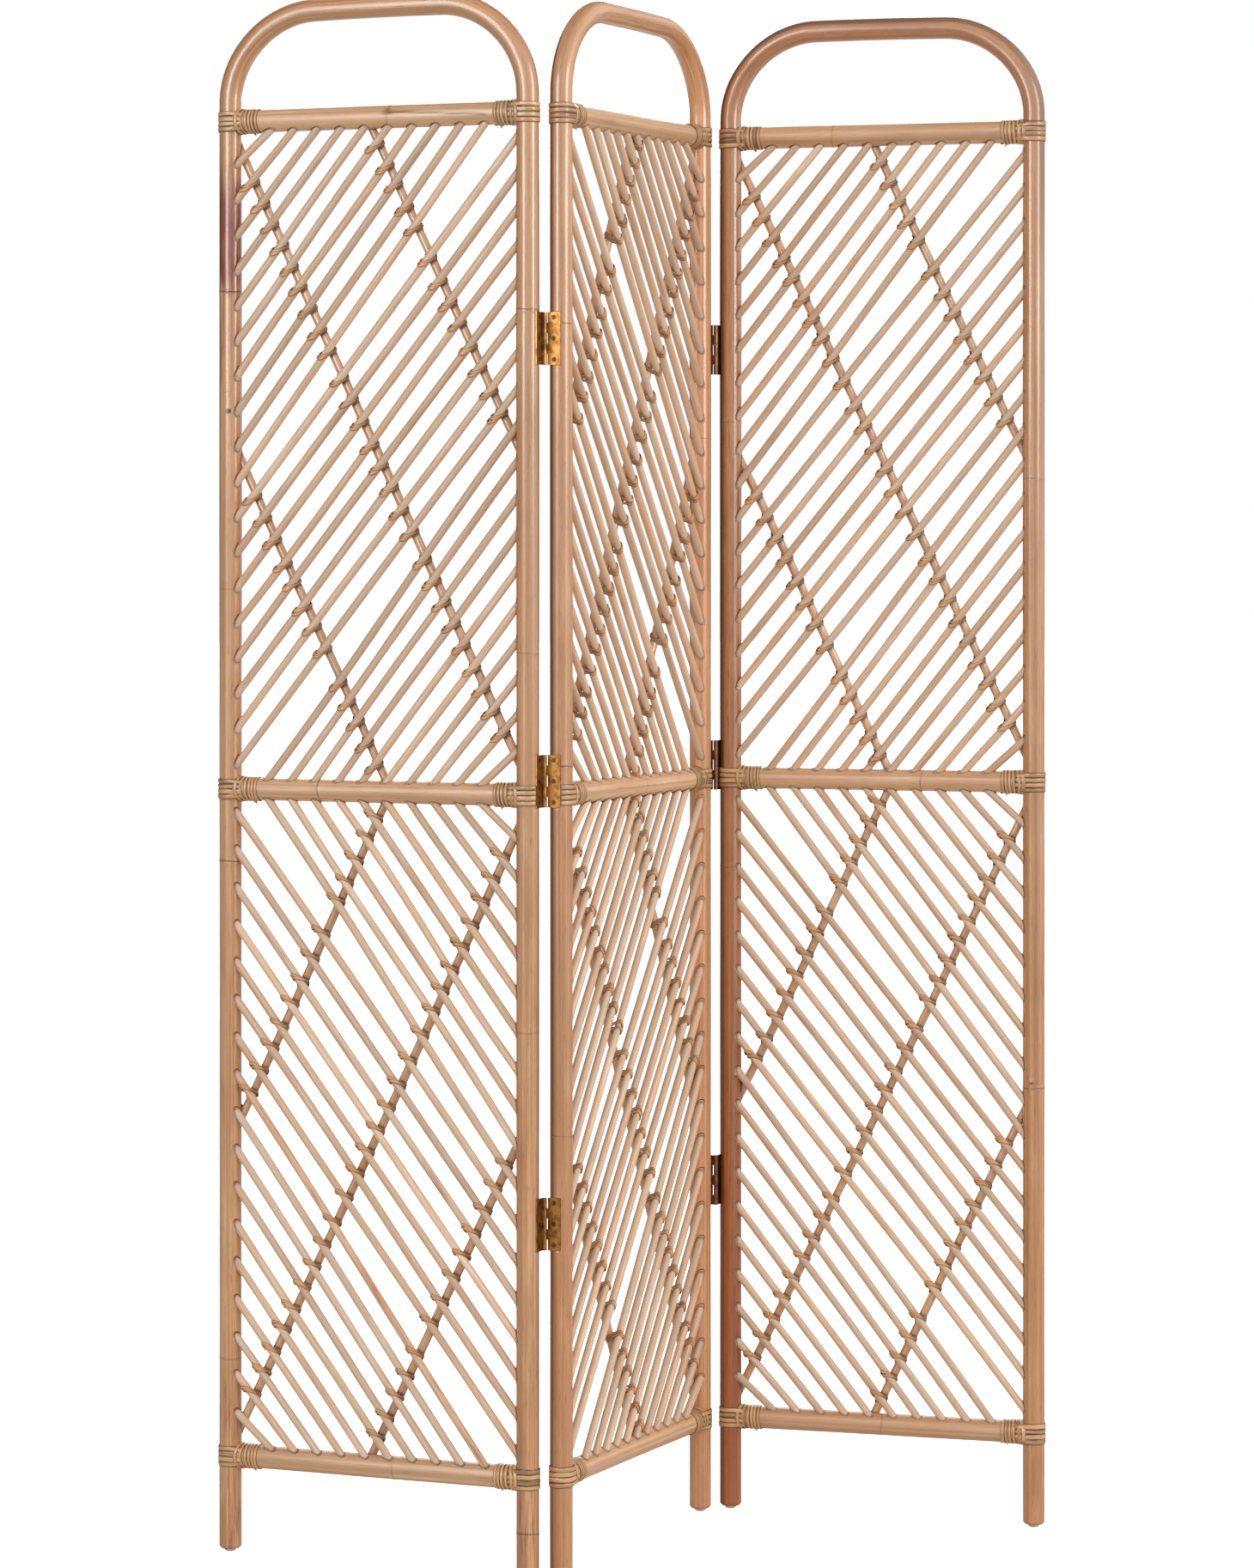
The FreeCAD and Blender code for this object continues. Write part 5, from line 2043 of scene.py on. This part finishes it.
def rail_looks() -> dict[Side, tuple[RailLook, RailLook, RailLook]]:
    """What each panel's rails show, lowest first."""
    return {
        Side.LEFT: (
            RailLook((-1.0, 0.5, 0), rings=((0.21, 0.4),)),
            RailLook((0.2, 0.05, 0), rings=((0.118, 0.8),)),
            RailLook((-0.1, 0.1, 0), rings=((0.205, 0.5),), cracks=((0.205, 0.33, 4.35, 0.5),),
                     stains=((0.205, 0.012, 4.3, 0.5),)),
        ),
        Side.MIDDLE: (
            RailLook((-0.1, 0.05, 0)),
            RailLook((0.15, 0.05, 0), rings=((0.2, 0.4),)),
            RailLook((0.0, 0.05, 0)),
        ),
        Side.RIGHT: (
            RailLook((-1.5, 1.0, 0), rings=((0.19, 0.4),)),
            RailLook((-0.7, 0.5, 0), rings=((0.24, 0.5),)),
            RailLook((-0.5, 0.5, 0), rings=((0.13, 0.4),)),
        ),
    }


@dataclass
class Panel:
    """One panel: its pole, its rails, its canes and its bindings."""

    side: Side
    finishes: dict[str, Material]

    def build(self) -> None:
        """Makes every piece of the panel."""
        place = Place.of(self.side)
        BentPole(place, pole_looks()[self.side]).build(self.finishes["pole"])
        Rails(place, rail_looks()[self.side]).build(self.finishes["rail"])
        ties = [Grille(place, section, self.finishes).build() for section in Section]
        name = f"{self.side.value}_cane_ties"
        joined(ties).build(f"{name}_skin", [name], "split_rattan", self.finishes["tie"])
        Bindings(place, self.finishes).build()


# Studio


@dataclass(frozen=True)
class Softbox:
    """A soft studio light."""

    name: str
    place: Triple
    aim: Triple
    size: Pair
    radiance: float
    gloss_only: bool = False

    def build(self) -> None:
        """Hangs the light."""
        data = bpy.data.lights.new(self.name, "AREA")
        data.shape = "RECTANGLE"
        data.size, data.size_y = self.size
        data.energy = self.radiance * math.pi * self.size[0] * self.size[1]
        light = bpy.data.objects.new(self.name, data)
        light.visible_diffuse = not self.gloss_only
        light.location = self.place
        light.rotation_euler = (Vector(self.aim) - Vector(self.place)).to_track_quat("-Z", "Y").to_euler()
        bpy.context.scene.collection.objects.link(light)


@dataclass(frozen=True)
class Studio:
    """The pale floor, the lights and the camera at the photograph's place."""

    camera_place: Triple = (-0.7349, -5.3734, 1.2004)
    camera_heading: float = math.radians(-7.645)
    photo_height: int = 1826
    focal_pixels: float = 5367.06
    level_line: float = 606.5
    sensor: float = 36.0
    farthest: float = 100
    floor_reach: float = 40.0
    floor_shade: float = 0.85
    floor_rough: float = 0.95
    front_range: Pair = (0.2, -0.95)
    dome_range: Pair = (0.12, 0.55)
    right_range: Pair = (0.3, 0.95)
    back_light: float = 0.08
    front_light: float = 1.22
    right_light: float = 1.0
    dome_light: float = 0.14
    floor_glow: float = 0.8
    floor_bounce: float = 0.75

    def camera(self) -> None:
        """Sets the camera up: level, at eye height, with the photograph's framing."""
        data = bpy.data.cameras.new("photo_camera")
        data.sensor_width = self.sensor
        data.lens = self.focal_pixels / self.photo_height * self.sensor
        data.shift_y = -(self.photo_height / 2 - self.level_line) / self.photo_height
        data.clip_end = self.farthest
        camera = bpy.data.objects.new("photo_camera", data)
        camera.location = self.camera_place
        camera.rotation_euler = (math.pi / 2, 0, self.camera_heading)
        bpy.context.scene.collection.objects.link(camera)
        bpy.context.scene.camera = camera

    def floor(self) -> None:
        """Lays the pale floor, which shows white and throws back only a little light."""
        signs = ((-1, -1), (1, -1), (1, 1), (-1, 1))
        corner_points = [(right * self.floor_reach, back * self.floor_reach, 0) for right, back in signs]
        mesh = bpy.data.meshes.new("floor")
        mesh.from_pydata(corner_points, [], [(0, 1, 2, 3)])
        made, net, seen = new_material("pale_floor")
        net.feed_all(seen, {"Base Color": (*[self.floor_shade] * 3, 1), "Roughness": self.floor_rough,
                            "Specular IOR Level": 0.0, "Emission Color": (1, 1, 1, 1),
                            "Emission Strength": self.floor_glow})
        dim = net.node("ShaderNodeBsdfDiffuse")
        dim.inputs["Color"].default_value = (*[self.floor_bounce] * 3, 1)
        choice = net.node("ShaderNodeMixShader")
        net.feed(choice.inputs[0], net.node("ShaderNodeLightPath").outputs["Is Camera Ray"])
        net.feed(choice.inputs[1], dim.outputs[0])
        net.feed(choice.inputs[2], seen.outputs[0])
        net.feed(made.node_tree.nodes["Material Output"].inputs["Surface"], choice.outputs[0])
        mesh.materials.append(made)
        floor = bpy.data.objects.new("floor", mesh)
        bpy.context.scene.collection.objects.link(floor)

    def world(self) -> None:
        """Surrounds the screen with a white background and dim, even light."""
        world = bpy.data.worlds.new("studio")
        world.use_nodes = True
        net = Net(world.node_tree)
        sky = world.node_tree.nodes["Background"]
        sky.inputs["Color"].default_value = (1, 1, 1, 1)
        seen = net.node("ShaderNodeLightPath").outputs["Is Camera Ray"]
        right, depth, height = net.parts(net.node("ShaderNodeTexCoord").outputs["Generated"])
        front = net.between(depth, *self.front_range, self.back_light, self.front_light)
        dome = net.between(height, *self.dome_range, 0.0, self.dome_light)
        right = net.between(right, *self.right_range, 0.0, self.right_light)
        light = net.sum_of("ADD", front, net.sum_of("ADD", dome, right))
        strength = net.node("ShaderNodeMix", data_type="FLOAT")
        net.feed(strength.inputs[0], seen)
        net.feed(strength.inputs[2], light)
        net.feed(strength.inputs[3], 1.0)
        net.feed(sky.inputs["Strength"], strength.outputs[0])
        bpy.context.scene.world = world

    def lights(self) -> None:
        """Hangs the softboxes: four in front at both sides, seen in gloss only, and one behind."""
        for light in (Softbox("left_box", place=(-2.1, -1.9, 2.15), aim=(0, 0, 1.9), size=(1.1, 1.5),
                              radiance=8.5, gloss_only=True),
                      Softbox("right_box", place=(1.9, -1.9, 2.15), aim=(0, 0, 1.9), size=(0.9, 1.5),
                              radiance=9.0, gloss_only=True),
                      Softbox("left_low_box", place=(-2.25, -1.9, 1.0), aim=(0, 0, 1.0), size=(1.0, 1.2),
                              radiance=1.9, gloss_only=True),
                      Softbox("right_low_box", place=(1.9, -1.9, 1.0), aim=(0, 0, 1.0), size=(0.9, 1.2),
                              radiance=1.5, gloss_only=True),
                      Softbox("back_box", place=(0.5, 3.8, 2.6), aim=(0, 0, 0.9), size=(2.6, 1.5),
                              radiance=5.0)):
            light.build()

    def build(self) -> None:
        """Sets the studio up."""
        self.camera()
        self.floor()
        self.world()
        self.lights()
        bpy.context.scene.view_settings.view_transform = "Standard"


def main() -> None:
    """Builds the screen and its studio."""
    logging.basicConfig(level=logging.INFO, format="%(message)s")
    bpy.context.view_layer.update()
    Studio().build()
    finishes = make_finishes()
    for side in Side:
        Panel(side, finishes).build()
    Fittings(finishes).dress()
    bpy.context.view_layer.update()


if __name__ == "__main__":
    main()
